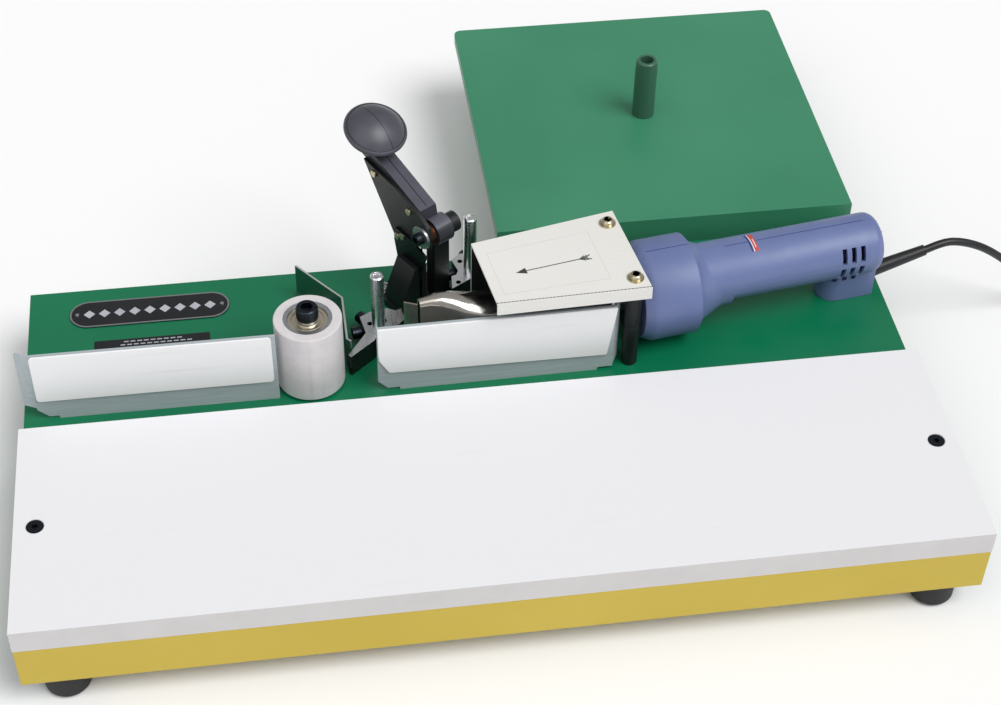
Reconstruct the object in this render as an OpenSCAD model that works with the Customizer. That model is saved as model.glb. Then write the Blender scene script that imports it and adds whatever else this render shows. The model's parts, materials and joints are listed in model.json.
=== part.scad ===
// Bench-top edge banding machine: a low sheet-steel table with a laminated work board, two fences,
// a pressure roller, tape guides, a lever cutter, a hot-air gun under a heat shield and a reel tray.
// Frame: millimetres, +Z up, Y runs from the operator to the back, origin on the bench at the middle.

/* [Base] */
// Length of the base and of the work board
base_w = 660; // [650:1:800]
// Depth of the work board, which sets where the fences stand
board_d = 183; // [170:1:220]
// Depth of the deck behind the work board
rear_d = 163; // [160:1:200]
// Thickness of the work board
board_t = 19; // [16:1:25]
// Height of the folded base, without its feet
base_h = 36; // [30:1:60]
// Sheet thickness of the base and the tray
sheet_t = 2; // [1.5:0.1:2.5]
// Diameter of a rubber foot
foot_d = 32; // [26:1:38]
// Height of a rubber foot
foot_h = 24; // [15:1:40]
// Distance of a foot's centre from the end of the base
foot_in_x = 28; // [24:1:40]
// Distance of a foot's centre from the front or back of the base
foot_in_y = 18.5; // [18:0.5:30]
// Distance of a board screw from the end of the board
board_screw_in = 14.5; // [10:0.5:40]

/* [Reel tray] */
// Width of the reel tray
tray_w = 291; // [240:1:320]
// Depth of the reel tray
tray_d = 281; // [230:1:320]
// Distance of the tray's right side from the end of the base
tray_in = 2; // [0:1:40]
// Gap between the back of the base and the tray's front flange
tray_gap = 8; // [5:1:20]
// Height of the tray's front flange
tray_flange_h = 45; // [40:1:50]
// Height of the lip on the other three sides
tray_lip_h = 10; // [6:1:14]
// Diameter of the reel spindle
spindle_d = 18.6; // [16:0.2:30]
// Diameter at the top of the reel spindle
spindle_top_d = 17.5; // [15:0.5:28]
// Height of the reel spindle
spindle_h = 55; // [30:1:80]
// Bore of the reel spindle
spindle_bore = 11; // [10:0.5:13]

/* [Roller] */
// Distance of the roller's axis to the left of the middle
roller_left = 120; // [115:1:135]
// Distance of the roller's axis behind the work board
roller_back = 44; // [42:1:50]
// Diameter of the rubber tyre
roller_d = 50; // [44:1:52]
// Height of the roller
roller_h = 60; // [50:1:75]
// Outside diameter of the roller's metal core
core_d = 36; // [34:1:40]
// Outside diameter of a bearing
bearing_od = 30; // [26:1:32]
// Width of a bearing
bearing_w = 9; // [7:1:12]
// Diameter of the roller's axle screw
axle_d = 10; // [8:1:12]

/* [Fences] */
// Height of both fences above the deck
fence_h = 63; // [55:1:68]
// Sheet thickness of the fences
fence_t = 2; // [1.5:0.1:3]
// Thickness of the slippery facing pads
pad_t = 1.6; // [1:0.1:3]
// Height of a facing pad
pad_h = 44; // [36:1:50]
// Length of the infeed fence
infeed_len = 176; // [150:1:182]
// Distance of the infeed fence's left end to the left of the middle
infeed_left = 72; // [68:1:75]
// Angle by which the infeed fence is set off the board's line
infeed_turn = 0.8; // [0:0.1:1.5]
// Travel of the infeed fence either way
fence_travel = 2.5; // [1:0.5:3]

/* [Tape guides] */
// Height of the tape guide blocks, level with the top of the work board
block_h = 19; // [14:1:25]
// Diameter of the guide pins
pin_d = 10; // [8:1:12]
// Height of the guide pins above the blocks
pin_h = 55; // [40:1:65]

/* [Cutter] */
// Height of the lever's pivot above the deck
pivot_h = 75; // [72:1:80]
// Angle between the pivot and the board's line
pivot_turn = 32.3; // [30:0.1:35]
// Diameter of the pivot bolt's shank
pivot_d = 8; // [6:1:9]
// Diameter of the lever's hub
hub_d = 22; // [20:1:24]
// Diameter of the palm knob
knob_d = 48.6; // [40:0.2:60]
// Thickness of the cutter blade
blade_t = 2; // [1.5:0.1:2.4]

/* [Hot-air gun] */
// Angle between the gun and the board's line
gun_turn = 8.5; // [7:0.1:10]
// Diameter of the gun's front collar
collar_d = 76.8; // [74:0.2:80]
// Diameter of the gun's barrel
barrel_d = 47; // [44:0.5:49]
// Wall thickness of the gun's shells
shell_t = 2.5; // [2:0.1:3.5]
// Diameter of the round part of the nozzle
nozzle_d = 37; // [32:0.5:39]
// Wall thickness of the nozzle
nozzle_t = 1.5; // [1:0.1:2]
// Height of the top of the heat shield above the deck
shield_h = 83; // [80:1:88]
// Sheet thickness of the heat shield
shield_t = 1.5; // [1:0.1:2]
// Diameter of the posts that carry the shield
post_d = 12; // [10:0.5:13]

/* [Power cord] */
// Diameter of the power cord
cord_d = 6.4; // [5:0.1:9]

/* [Hidden] */
$fn = 64;

// Clearances
run_gap = 0.05;     // radial play of a bore that turns on a shaft
hole_gap = 0.3;     // radial play of a screw in its hole
face_gap = 0.3;     // play between faces that slide or turn past each other

// Levels and lines of the table
deck_z = foot_h + base_h;
board_z = deck_z + board_t;
base_d = board_d + rear_d;
all_d = base_d + tray_gap + tray_d;
front_y = -all_d / 2;
fence_y = front_y + board_d;
back_y = front_y + base_d;
half_w = base_w / 2;
foot_return = 2 * foot_in_x - 11;
fascia_flange = 20;

// Screws: shank diameter, head diameter and head height of the sizes that are used
m5 = [5, 9.5, 3.5];
m6 = [6, 12, 4];

// Places on the deck, from the middle of the board's rear edge
outfeed_line = 26.5;
infeed_line = 24.6;
outfeed_end = half_w - 11;
pin_at = [[-67, 70.2], [9.2, 127.2]];
pivot_at = [-31, 106.3];
gun_at = [149.4, 70.5];

// Roller stack
axle_clear = axle_d + 2 * run_gap;
roller_z0 = 2;
bearing_recess = 2;
roller_z1 = roller_z0 + roller_h;
head_z = roller_z1 + 1;

// Cutter stack along the pivot, from the outer face of the washer
washer_t = 2.5;
plate_t = 3;
spring_s0 = washer_t + plate_t;
hub_s0 = 10;
hub_s1 = 24;
boss_s0 = hub_s1 + face_gap * 2;
boss_s1 = 33.2;
arm_s1 = 20.5;
bush_d = pivot_d + 4;
leg_n0 = 2;
leg_n1 = 24;
leg_top = 44;
plinth_h = 6;
blade_s0 = washer_t - blade_t;

// Palm knob on the arm's end: its place along the arm, its seat, its lean and its own heights
knob_reach = 70.8;
knob_seat = 48.7;
knob_tilt = 20;
knob_post = 12;
knob_h = 18;
knob_dome_h = 10;
knob_rim_z = 3;

// Gun stack along its axis, from the middle of the collar
collar_r = collar_d / 2;
collar_z = collar_r + 0.3;
barrel_z = collar_z + 5.6;
collar_u0 = -26;
collar_u1 = 17;
cone_u = 41;
barrel_u = 173;
post_u = -36.5;
post_v = 31.7;
nozzle_tip_u = -190;
post_top = shield_h - shield_t;
lower_post_h = 37;
foot_u = [143, 172];
gland_h = 14.2;
gland_rise = 13;
gland_len = 43;
gland_d = 11.4;
gland_out = gland_d / 2 + 0.1;

// ---- helpers ----------------------------------------------------------------------------------

// Moves to a place on the deck: x from the middle, y from the board's rear edge, z from the deck
module on_deck(x, y, z = 0) translate([x, fence_y + y, deck_z + z]) children();

// The cutter's frame: X along the pivot, Y to the back, Z from the deck
module cutter_frame() on_deck(pivot_at[0], pivot_at[1]) rotate([0, 0, pivot_turn]) children();

// The gun's frame: X along the gun towards its tail, Y to the back, Z from the deck
module gun_frame() on_deck(gun_at[0], gun_at[1]) rotate([0, 0, gun_turn]) children();

// The infeed fence's frame: X along the fence from its left end, Y to the back
module infeed_frame() on_deck(-infeed_left, infeed_line) rotate([0, 0, infeed_turn]) children();

// A cylinder along X from a to b
module rod_x(a, b, d) translate([a, 0, 0]) rotate([0, 90, 0]) cylinder(h = b - a, d = d);

// An outline drawn in Y and Z, thickened along X from a to b
module slab_x(a, b) translate([a, 0, 0]) rotate([90, 0, 90]) linear_extrude(b - a) children();

// An outline drawn in X and Z, thickened along Y from a to b
module slab_y(a, b) translate([0, b, 0]) rotate([90, 0, 0]) linear_extrude(b - a) children();

// A box between two corners
module span(a, b) translate(a) cube(b - a);

// A rectangle between two corners with round corners
module round_rect(a, b, r) {
    translate([a[0] + r, a[1]]) square([b[0] - a[0] - 2 * r, b[1] - a[1]]);
    translate([a[0], a[1] + r]) square([b[0] - a[0], b[1] - a[1] - 2 * r]);
    for (x = [a[0] + r, b[0] - r], y = [a[1] + r, b[1] - r]) translate([x, y]) circle(r);
}

// A six-sided prism by its width across flats
module hex(af, h) cylinder(h = h, d = af / cos(30), $fn = 6);

// A pan-head screw with its head seated at z = 0, shank down by len, and a washer under the head
module pan_screw(m, len, washer = 1) {
    difference() {
        union() {
            if (washer > 0) cylinder(h = washer, d = m[1] + 3);
            translate([0, 0, washer]) rotate_extrude() polygon([[0, 0], [m[1] / 2, 0],
                [m[1] / 2, m[2] * 0.55], [m[1] / 2 - 0.6, m[2] * 0.8], [m[1] / 2 - 1.8, m[2]],
                [0, m[2]]]);
            translate([0, 0, -len]) cylinder(h = len + 0.2, d = m[0]);
        }
        translate([0, 0, washer + m[2] - 1.5]) for (a = [0, 90]) rotate([0, 0, a])
            translate([-m[1] * 0.3, -0.6, 0]) cube([m[1] * 0.6, 1.2, 3]);
    }
}

// A hexagonal nut whose top face is at z = 0
module nut(m, af, h) difference() {
    translate([0, 0, -h]) hex(af, h);
    translate([0, 0, -h - 1]) cylinder(h = h + 2, d = m + 0.1);
}

// A hole through the deck for a screw of diameter d
module deck_hole(x, y, d) on_deck(x, y, -sheet_t - 1)
    cylinder(h = sheet_t + 2, d = d + 2 * hole_gap);

// ---- base --------------------------------------------------------------------------------------

foot_spots = [for (x = [-1, 1], y = [0, 1])
    [x * (half_w - foot_in_x), y == 0 ? front_y + foot_in_y : back_y - foot_in_y]];
board_spots = [for (s = [-1, 1]) [s * (half_w - board_screw_in), front_y + board_d / 2 - 1.5]];
tray_x1 = half_w - tray_in;
tray_x0 = tray_x1 - tray_w;
tray_y0 = back_y + tray_gap;
tray_y1 = tray_y0 + tray_d;
tray_mid = [(tray_x0 + tray_x1) / 2, (tray_y0 + tray_y1) / 2];
tray_bolt_x = [for (k = [-1, 0, 1]) tray_mid[0] + k * tray_w * 0.41];
tray_bolt_z = foot_h + base_h / 2;

// Deck screws: fence feet, cutter bracket and roller guard
outfeed_slots = [[-outfeed_end + 40, outfeed_line + 16], [-roller_left - 55, outfeed_line + 16]];
infeed_slots = [[36, 16], [120, 16]];
function infeed_point(p) = [
    -infeed_left + p[0] * cos(infeed_turn) - p[1] * sin(infeed_turn),
    infeed_line + p[0] * sin(infeed_turn) + p[1] * cos(infeed_turn)];
function cutter_point(p) = [
    pivot_at[0] + p[0] * cos(pivot_turn) - p[1] * sin(pivot_turn),
    pivot_at[1] + p[0] * sin(pivot_turn) + p[1] * cos(pivot_turn)];
function gun_point(p) = [
    gun_at[0] + p[0] * cos(gun_turn) - p[1] * sin(gun_turn),
    gun_at[1] + p[0] * sin(gun_turn) + p[1] * cos(gun_turn)];
bracket_screws = [[-10, 34], [26, 34]];
guard_line = [[-125, 141.3], [-92.6, 100.6], [-92.6, 55.3], [-89.6, 52]];
guard_screws = [[-117, 119], [-106, 105]];
guard_h = 27;
guard_t = 1.5;
deck_screw_spots = concat(outfeed_slots, [for (p = infeed_slots) infeed_point(p)]);
plinth_screw_spots = [for (p = bracket_screws) cutter_point(p)];

module base_pan() color("#2f8560") difference() {
    union() {
        span([-half_w, front_y + sheet_t, deck_z - sheet_t], [half_w, back_y, deck_z]);
        for (s = [-1, 1]) {
            span([s > 0 ? half_w - sheet_t : -half_w, front_y + sheet_t, foot_h],
                [s > 0 ? half_w : -half_w + sheet_t, back_y, deck_z]);
            span([s > 0 ? half_w - foot_return : -half_w, front_y + sheet_t, foot_h],
                [s > 0 ? half_w : -half_w + foot_return, back_y, foot_h + sheet_t]);
        }
        span([-half_w, back_y - sheet_t, foot_h], [half_w, back_y, deck_z]);
        span([-half_w, back_y - 16, foot_h], [half_w, back_y, foot_h + sheet_t]);
    }
    for (p = foot_spots) translate([p[0], p[1], foot_h - 1])
        cylinder(h = sheet_t + 2, d = m5[0] + 2 * hole_gap);
    for (p = board_spots) translate([p[0], p[1], deck_z - sheet_t - 1])
        cylinder(h = sheet_t + 2, d = m6[0] + 2 * hole_gap);
    deck_hole(-roller_left, roller_back, axle_d);
    for (p = deck_screw_spots) deck_hole(p[0], p[1], m6[0]);
    for (p = concat(plinth_screw_spots, guard_screws)) deck_hole(p[0], p[1], m5[0]);
    for (s = [-1, 1]) deck_hole(gun_point([post_u, s * post_v])[0],
        gun_point([post_u, s * post_v])[1], m5[0]);
    for (x = tray_bolt_x) translate([x, back_y + 1, tray_bolt_z]) rotate([90, 0, 0])
        cylinder(h = sheet_t + 2, d = m6[0] + 2 * hole_gap);
}

module front_fascia() color("#c9b24c") {
    span([-half_w, front_y, foot_h], [half_w, front_y + sheet_t, deck_z]);
    span([-half_w + sheet_t + 1, front_y + sheet_t, deck_z - 2 * sheet_t],
        [half_w - sheet_t - 1, front_y + sheet_t + fascia_flange, deck_z - sheet_t]);
    span([-half_w + foot_return + 1, front_y + sheet_t, foot_h],
        [half_w - foot_return - 1, front_y + sheet_t + fascia_flange, foot_h + sheet_t]);
}

module foot(i) color("#16181c") translate([foot_spots[i][0], foot_spots[i][1], 0])
    rotate_extrude() difference() {
        union() {
            square([foot_d / 2 - 5, foot_h]);
            translate([0, 5]) square([foot_d / 2, foot_h - 5]);
            translate([foot_d / 2 - 5, 5]) circle(5);
        }
        translate([-1, -1]) square([m5[0] / 2 + hole_gap + 1, foot_h + 2]);
        translate([-1, -1]) square([7 + 1, 9]);
    }

module foot_screws() color("#b8bcc0") for (p = foot_spots) translate([p[0], p[1], 8]) {
    rotate([180, 0, 0]) pan_screw(m5, foot_h - 8 + sheet_t + 6, 0);
    translate([0, 0, foot_h - 8 + sheet_t + 4]) nut(m5[0], 8, 4);
}

module work_board() color("#eeeef0") difference() {
    span([-half_w, front_y, deck_z], [half_w, fence_y, board_z]);
    for (p = board_spots) translate([p[0], p[1], deck_z]) {
        translate([0, 0, -1]) cylinder(h = board_t + 2, d = m6[0] + 2 * hole_gap);
        translate([0, 0, board_t - 4]) cylinder(h = 4.01, d1 = 6.5, d2 = 13);
        translate([0, 0, board_t - 0.4]) cylinder(h = 1, d = 13);
    }
}

module board_screws() color("#5c5f60") for (p = board_spots) translate([p[0], p[1], board_z]) {
    difference() {
        union() {
            translate([0, 0, -4.4]) cylinder(h = 4, d1 = 5.8, d2 = 12);
            translate([0, 0, -0.4]) cylinder(h = 0.3, d = 12);
            translate([0, 0, -board_t - sheet_t - 8]) cylinder(h = board_t + sheet_t + 4, d = 6);
        }
        translate([0, 0, -3]) hex(4, 4);
    }
    translate([0, 0, -board_t - sheet_t]) nut(6, 10, 5);
}

// ---- reel tray ---------------------------------------------------------------------------------

module tray_bolt_holes() for (x = tray_bolt_x) translate([x, tray_y0 + sheet_t + 1, tray_bolt_z])
    rotate([90, 0, 0]) cylinder(h = sheet_t + 2, d = m6[0] + 2 * hole_gap);

module reel_tray() color("#4a8c6b") difference() {
    union() {
        translate([0, 0, board_z - sheet_t]) linear_extrude(sheet_t)
            tray_outline(0);
        translate([0, 0, board_z - tray_lip_h]) linear_extrude(tray_lip_h - sheet_t) difference() {
            tray_outline(0);
            tray_outline(sheet_t);
        }
        span([tray_x0, tray_y0, board_z - tray_flange_h],
            [tray_x1, tray_y0 + sheet_t, board_z - tray_lip_h + 0.01]);
    }
    tray_bolt_holes();
    translate([tray_mid[0], tray_mid[1], board_z - sheet_t - 1])
        cylinder(h = sheet_t + 2, d = m6[0] + 2 * hole_gap);
}

// The tray's outline, drawn in by inset, with its two rear corners round
module tray_outline(inset) {
    r = 6 - inset;
    a = [tray_x0 + inset, tray_y0 + inset];
    b = [tray_x1 - inset, tray_y1 - inset];
    translate(a) square([b[0] - a[0], b[1] - a[1] - r]);
    translate([a[0] + r, b[1] - r - 1]) square([b[0] - a[0] - 2 * r, r + 1]);
    for (x = [a[0] + r, b[0] - r]) translate([x, b[1] - r]) circle(r);
}

module tray_spacers() color("#4a8c6b") for (x = tray_bolt_x)
    translate([x, back_y + tray_gap, tray_bolt_z]) rotate([90, 0, 0]) difference() {
        cylinder(h = tray_gap, d = 16);
        translate([0, 0, -1]) cylinder(h = tray_gap + 2, d = m6[0] + 2 * hole_gap);
    }

module tray_bolts() color("#b8bcc0") for (x = tray_bolt_x)
    translate([x, tray_y0 + sheet_t, tray_bolt_z]) rotate([-90, 0, 0]) {
        hex(10, 4);
        translate([0, 0, -tray_gap - 2 * sheet_t - 8])
            cylinder(h = tray_gap + 2 * sheet_t + 8, d = m6[0]);
        translate([0, 0, -tray_gap - 2 * sheet_t]) nut(m6[0], 10, 5);
    }

module reel_spindle() color("#3f7d5f") translate([tray_mid[0], tray_mid[1], board_z])
    rotate_extrude() difference() {
        polygon([[0, 0], [spindle_d / 2, 0], [spindle_d / 2, spindle_h - 10],
            [spindle_top_d / 2, spindle_h - 1], [spindle_top_d / 2 - 1, spindle_h], [0, spindle_h]]);
        translate([-1, 5]) square([spindle_bore / 2 + 1, spindle_h]);
        translate([-1, -1]) square([m6[0] / 2 + hole_gap + 1, spindle_h]);
    }

module spindle_screw() color("#b8bcc0") translate([tray_mid[0], tray_mid[1], board_z + 5]) {
    difference() {
        union() {
            cylinder(h = 3.5, d = 9.8);
            translate([0, 0, -sheet_t - 12]) cylinder(h = sheet_t + 12.1, d = m6[0]);
        }
        translate([0, 0, 1]) hex(4, 4);
    }
    translate([0, 0, -sheet_t - 5]) nut(m6[0], 10, 5);
}

// ---- pressure roller -----------------------------------------------------------------------------

module roller_frame() on_deck(-roller_left, roller_back) children();

bearing_z = [roller_z0 + bearing_recess, roller_z1 - bearing_recess - bearing_w];

module roller_tyre() color("#c4bfc0") roller_frame() translate([0, 0, roller_z0])
    rotate_extrude() difference() {
        union() {
            square([roller_d / 2 - 1, roller_h]);
            translate([0, 1]) square([roller_d / 2, roller_h - 2]);
            for (z = [1, roller_h - 1]) translate([roller_d / 2 - 1, z]) circle(1);
        }
        translate([-1, -1]) square([core_d / 2 + 1, roller_h + 2]);
    }

module roller_core() color("#aab0b4") roller_frame() difference() {
    translate([0, 0, roller_z0 + 0.5]) cylinder(h = roller_h - 1, d = core_d);
    translate([0, 0, -1]) cylinder(h = roller_h + 10, d = bearing_od - 6);
    translate([0, 0, -1]) cylinder(h = bearing_z[0] + bearing_w + 1, d = bearing_od);
    translate([0, 0, bearing_z[1]]) cylinder(h = bearing_w + 10, d = bearing_od);
}

module roller_bearings() color("#b9a98c") roller_frame() for (z = bearing_z)
    translate([0, 0, z]) rotate_extrude() difference() {
        translate([axle_clear / 2, 0]) square([(bearing_od - axle_clear) / 2, bearing_w]);
        for (y = [-0.01, bearing_w - 0.69]) {
            translate([axle_clear / 2 + 2.4, y]) square([0.8, 0.7]);
            translate([bearing_od / 2 - 3, y]) square([0.8, 0.7]);
        }
    }

module roller_axle() color("#3f4450") roller_frame() {
    difference() {
        union() {
            translate([0, 0, head_z]) cylinder(h = 9, d = 16);
            translate([0, 0, head_z + 9]) cylinder(h = 1, d1 = 16, d2 = 14);
            translate([0, 0, -sheet_t - 12]) cylinder(h = head_z + sheet_t + 12.1, d = axle_d);
        }
        translate([0, 0, head_z + 4]) hex(8, 8);
    }
    translate([0, 0, -sheet_t]) nut(axle_d, 17, 8);
}

module roller_spacers() color("#8d9296") roller_frame() for (z = [
        [0, bearing_z[0] - face_gap],
        [bearing_z[1] + bearing_w + face_gap, head_z]]) difference() {
    translate([0, 0, z[0]]) cylinder(h = z[1] - z[0], d = axle_d + 4);
    translate([0, 0, z[0] - 1]) cylinder(h = z[1] - z[0] + 2, d = axle_d + 0.1);
}

// Points a distance to the left of the guard's line, from its last point back to its first
function guard_off(t) = [for (i = [3:-1:0])
    let (a = guard_line[max(i - 1, 0)], b = guard_line[i], c = guard_line[min(i + 1, 3)],
        d = (c - a) / norm(c - a), h = i == 1 || i == 2 ? t * 1.08 : t)
    [b[0] + d[1] * h, b[1] - d[0] * h]];

module roller_guard() color("#2f6b4e") difference() {
    union() {
        on_deck(0, 0) linear_extrude(guard_h)
            polygon(concat(guard_line, guard_off(-guard_t)));
        on_deck(0, 0) linear_extrude(guard_t) polygon([guard_line[0], guard_line[1],
            guard_line[1] + [-12.5, -1.4], guard_line[0] + [-8, -20]]);
    }
    for (p = guard_screws) on_deck(p[0], p[1], -1) cylinder(h = 5, d = m5[0] + 2 * hole_gap);
}

// ---- fences ---------------------------------------------------------------------------------------

outfeed_len = outfeed_end - roller_left - roller_d / 2 + 0.5;
fence_foot = 30;

// The foot flange of a fence, with a slot across it at each screw
module fence_foot_plate(x0, x1, slots, reach) difference() {
    span([x0, 0, 0], [x1, fence_foot, fence_t]);
    for (p = slots) translate([p[0], p[1], -1]) linear_extrude(fence_t + 2)
        round_rect([-m6[0] / 2 - hole_gap, -m6[0] / 2 - reach - hole_gap],
            [m6[0] / 2 + hole_gap, m6[0] / 2 + reach + hole_gap], m6[0] / 2 + hole_gap - 0.01);
}

// Plan of a flap of length len, bent back by an angle from the left end of a fence
module end_flap(len, a) polygon([[0, 0], [-len * cos(a), len * sin(a)],
    [fence_t * sin(a) - len * cos(a), len * sin(a) + fence_t * cos(a)],
    [fence_t * tan(a / 2), fence_t], [1, fence_t], [1, 0]]);

module outfeed_fence() color("#97a3a8") on_deck(-outfeed_end, outfeed_line) {
    slab_y(0, fence_t) polygon([[0, 10], [8, 2.5], [15, 2.5], [15, 0], [outfeed_len, 0],
        [outfeed_len, fence_h], [0, fence_h]]);
    translate([0, 0, 12]) linear_extrude(fence_h - 12) end_flap(10, 25);
    fence_foot_plate(15, outfeed_len, [for (p = outfeed_slots)
        [p[0] + outfeed_end, p[1] - outfeed_line]], fence_travel);
}

module outfeed_pad() color("#e6e6e8") on_deck(-outfeed_end, outfeed_line - pad_t)
    slab_y(0, pad_t) round_rect([1.2, fence_h - pad_h], [outfeed_len - 3, fence_h - 0.3], 3);

module infeed_fence() color("#97a3a8") infeed_frame() {
    slab_y(0, fence_t) polygon([[0, 10], [7, 2.5], [16, 2.5], [16, 0], [infeed_len - 12, 0],
        [infeed_len - 11, 2.5], [infeed_len, 2.5], [infeed_len, fence_h], [0, fence_h]]);
    translate([infeed_len, 0, 5]) mirror([1, 0, 0]) linear_extrude(fence_h - 5) end_flap(11, 62);
    fence_foot_plate(16, infeed_len - 12, infeed_slots, fence_travel);
}

module infeed_pad() color("#e6e6e8") infeed_frame() translate([0, -pad_t, 0])
    slab_y(0, pad_t) polygon([[0.5, fence_h - 0.3], [0.5, fence_h - 25], [1, fence_h - 31],
        [8, fence_h - pad_h + 0.6], [10, fence_h - pad_h], [infeed_len - 6, fence_h - pad_h - 3],
        [infeed_len - 5, fence_h - pad_h - 2], [infeed_len + 1, fence_h - 1.3],
        [infeed_len, fence_h - 0.3]]);

module deck_screws() color("#b8bcc0") {
    for (p = deck_screw_spots) on_deck(p[0], p[1], fence_t) {
        pan_screw(m6, fence_t + sheet_t + 7);
        translate([0, 0, -fence_t - sheet_t]) nut(m6[0], 10, 5);
    }
    for (p = plinth_screw_spots) on_deck(p[0], p[1], plinth_h) {
        pan_screw(m5, plinth_h + sheet_t + 6);
        translate([0, 0, -plinth_h - sheet_t]) nut(m5[0], 8, 4);
    }
    for (p = guard_screws) on_deck(p[0], p[1], guard_t) {
        pan_screw(m5, guard_t + sheet_t + 6, 0.5);
        translate([0, 0, -guard_t - sheet_t]) nut(m5[0], 8, 4);
    }
}

// ---- tape guides ------------------------------------------------------------------------------------

module tape_block(outline, pin) on_deck(0, 0) difference() {
    linear_extrude(block_h) polygon(outline);
    translate([pin[0], pin[1], block_h - 12]) cylinder(h = 13, d = pin_d);
}

outfeed_outline = [[-92, 46.2], [-86.2, 54.5], [-77, 68.3], [-80, 86.1], [-71.3, 91.2],
    [-59.1, 93.7], [-52, 90.1], [-48.1, 92.3], [-46.2, 79.8], [-56, 71], [-61, 63], [-70, 62],
    [-71, 59.8], [-90, 43.6]];
infeed_outline = [[-6.8, 109.2], [-5.5, 123.5], [-1.5, 125], [0.3, 129.5], [-3.3, 142.3],
    [4, 148.8], [16, 150], [23, 140], [20, 126], [6, 117.3]];

module block_holes(outline_left) for (p = outline_left) on_deck(p[0], p[1], block_h - 6)
    cylinder(h = 7, d = 4);

module outfeed_block() color("#d8dcde") difference() {
    tape_block(outfeed_outline, pin_at[0]);
    block_holes([[-73, 78], [-62, 80]]);
    screw_bores(outfeed_bolts);
}

module infeed_block() color("#d8dcde") difference() {
    tape_block(infeed_outline, pin_at[1]);
    block_holes([[3, 140], [-1, 116]]);
    screw_bores(infeed_bolts);
}

module tape_pins() color("#c8ccd0") for (p = pin_at) on_deck(p[0], p[1], block_h - 12)
    rotate_extrude() polygon([[0, 0], [pin_d / 2, 0], [pin_d / 2, pin_h + 11],
        [pin_d / 2 - 1, pin_h + 12], [3, pin_h + 12], [2.4, pin_h + 11], [0, pin_h + 10.6]]);

// Adjusting screws in the back of the blocks: place on the block's edge and direction
outfeed_bolts = [[-78.7, 78.6, 190], [-75.5, 88.7, 120]];
infeed_bolts = [[-1.4, 135.7, 196], [9.5, 149.4, 95]];

module bolt_frame(b) on_deck(b[0], b[1], block_h - 8) rotate([0, 0, b[2]]) children();

module screw_bores(bolts) for (b = bolts) bolt_frame(b) rod_x(-5, 8, 5);

module block_screws() color("#22252a") for (b = concat(outfeed_bolts, infeed_bolts)) bolt_frame(b)
    difference() {
        union() {
            rod_x(-5, 1.6, 5);
            rod_x(1.5, 8, 9.5);
        }
        translate([5, 0, 0]) rotate([0, 90, 0]) hex(4, 6);
    }

// ---- cutter -------------------------------------------------------------------------------------------

module at_pivot() cutter_frame() translate([0, 0, pivot_h]) children();

// The bracket: a plinth, a slotted left leg in which the blade swings, and a right leg with the boss
module cutter_bracket() color("#14161a") cutter_frame() difference() {
    union() {
        span([-17, leg_n0, 0], [boss_s1 - 2, 40, plinth_h]);
        slab_y(leg_n0, leg_n1) polygon([[-15, 0], [-15, 18.5], [-3.8, leg_top], [7, leg_top],
            [7, 0]]);
        span([15.3, leg_n0, 0], [29.4, 12, pivot_h - hub_d / 2 + 3]);
        span([boss_s0, leg_n0, plinth_h], [29.4, 12, pivot_h]);
        translate([0, 0, pivot_h]) rod_x(boss_s0, boss_s1, 16);
    }
    span([blade_s0 - face_gap, -5, plinth_h + 1], [washer_t + face_gap, 60, leg_top + 5]);
    translate([0, 0, pivot_h]) rod_x(-5, boss_s0 - 0.001, hub_d + 1.6);
    translate([0, 0, pivot_h]) rod_x(boss_s0 - 1, boss_s1 + 1, pivot_d);
    for (p = bracket_screws) translate([p[0], p[1], -1])
        cylinder(h = plinth_h + 2, d = m5[0] + 2 * hole_gap);
}

module pivot_bolt() color("#3a3d44") at_pivot() difference() {
    union() {
        rod_x(-5, 0, pivot_d + 2);
        rod_x(-0.1, boss_s1 - 1, pivot_d);
    }
    translate([-6, 0, 0]) rotate([0, 90, 0]) hex(5, 4);
}

module pivot_washer() color("#e4e4e2") at_pivot() difference() {
    rod_x(0, washer_t - face_gap, 18.4);
    rod_x(-1, washer_t + 1, pivot_d + 0.1);
}

// A three-turn torsion spring between the side plate and the hub, its legs on the bracket and lever
module return_spring() color("#b0714a") at_pivot() {
    wire = 1.3;
    for (k = [0:2]) translate([spring_s0 + 0.9 + wire * 0.94 * k, 0, 0]) rotate([0, 90, 0])
        rotate_extrude() translate([8.2, 0]) circle(wire / 2, $fn = 24);
    translate([spring_s0 + 0.9 + wire * 0.94, 8.2, -26]) cylinder(h = 26, d = wire);
}

// Outline of the arm in Y and Z about the pivot
arm_outline = [[4, 8], [6.6, 18.5], [56, 36.5], [78, 41], [79, 32], [62, 26], [24, 4], [12, 1.5]];

// The knob's own frame, square to the arm's top, with Z up through the knob
module knob_frame() translate([(spring_s0 + arm_s1) / 2, knob_reach, knob_seat])
    rotate([knob_tilt, 0, 0]) children();

module cutter_lever() color("#26282e") at_pivot() difference() {
    union() {
        rod_x(hub_s0, hub_s1, hub_d);
        slab_x(spring_s0, arm_s1) polygon(arm_outline);
        knob_frame() translate([0, 0, -knob_post]) cylinder(h = knob_post, d = 15);
    }
    rod_x(spring_s0 - 1, hub_s0, 21);
    rod_x(hub_s0 - 1, hub_s1 + 1, bush_d);
}

module pivot_bush() color("#a8823c") at_pivot() difference() {
    rod_x(spring_s0 + face_gap, hub_s1, bush_d);
    rod_x(0, hub_s1 + 1, pivot_d + 2 * run_gap);
}

side_outline = [[-9.4, 3], [-6, 11], [4, 17], [30, 25.5], [70.9, 31], [34, -22], [24, -22],
    [4, -11], [-6, -9]];
lever_screw_spots = [[16, 14], [58, 24.5]];
blade_screw_spots = [[22, -13], [28, -16]];

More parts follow.
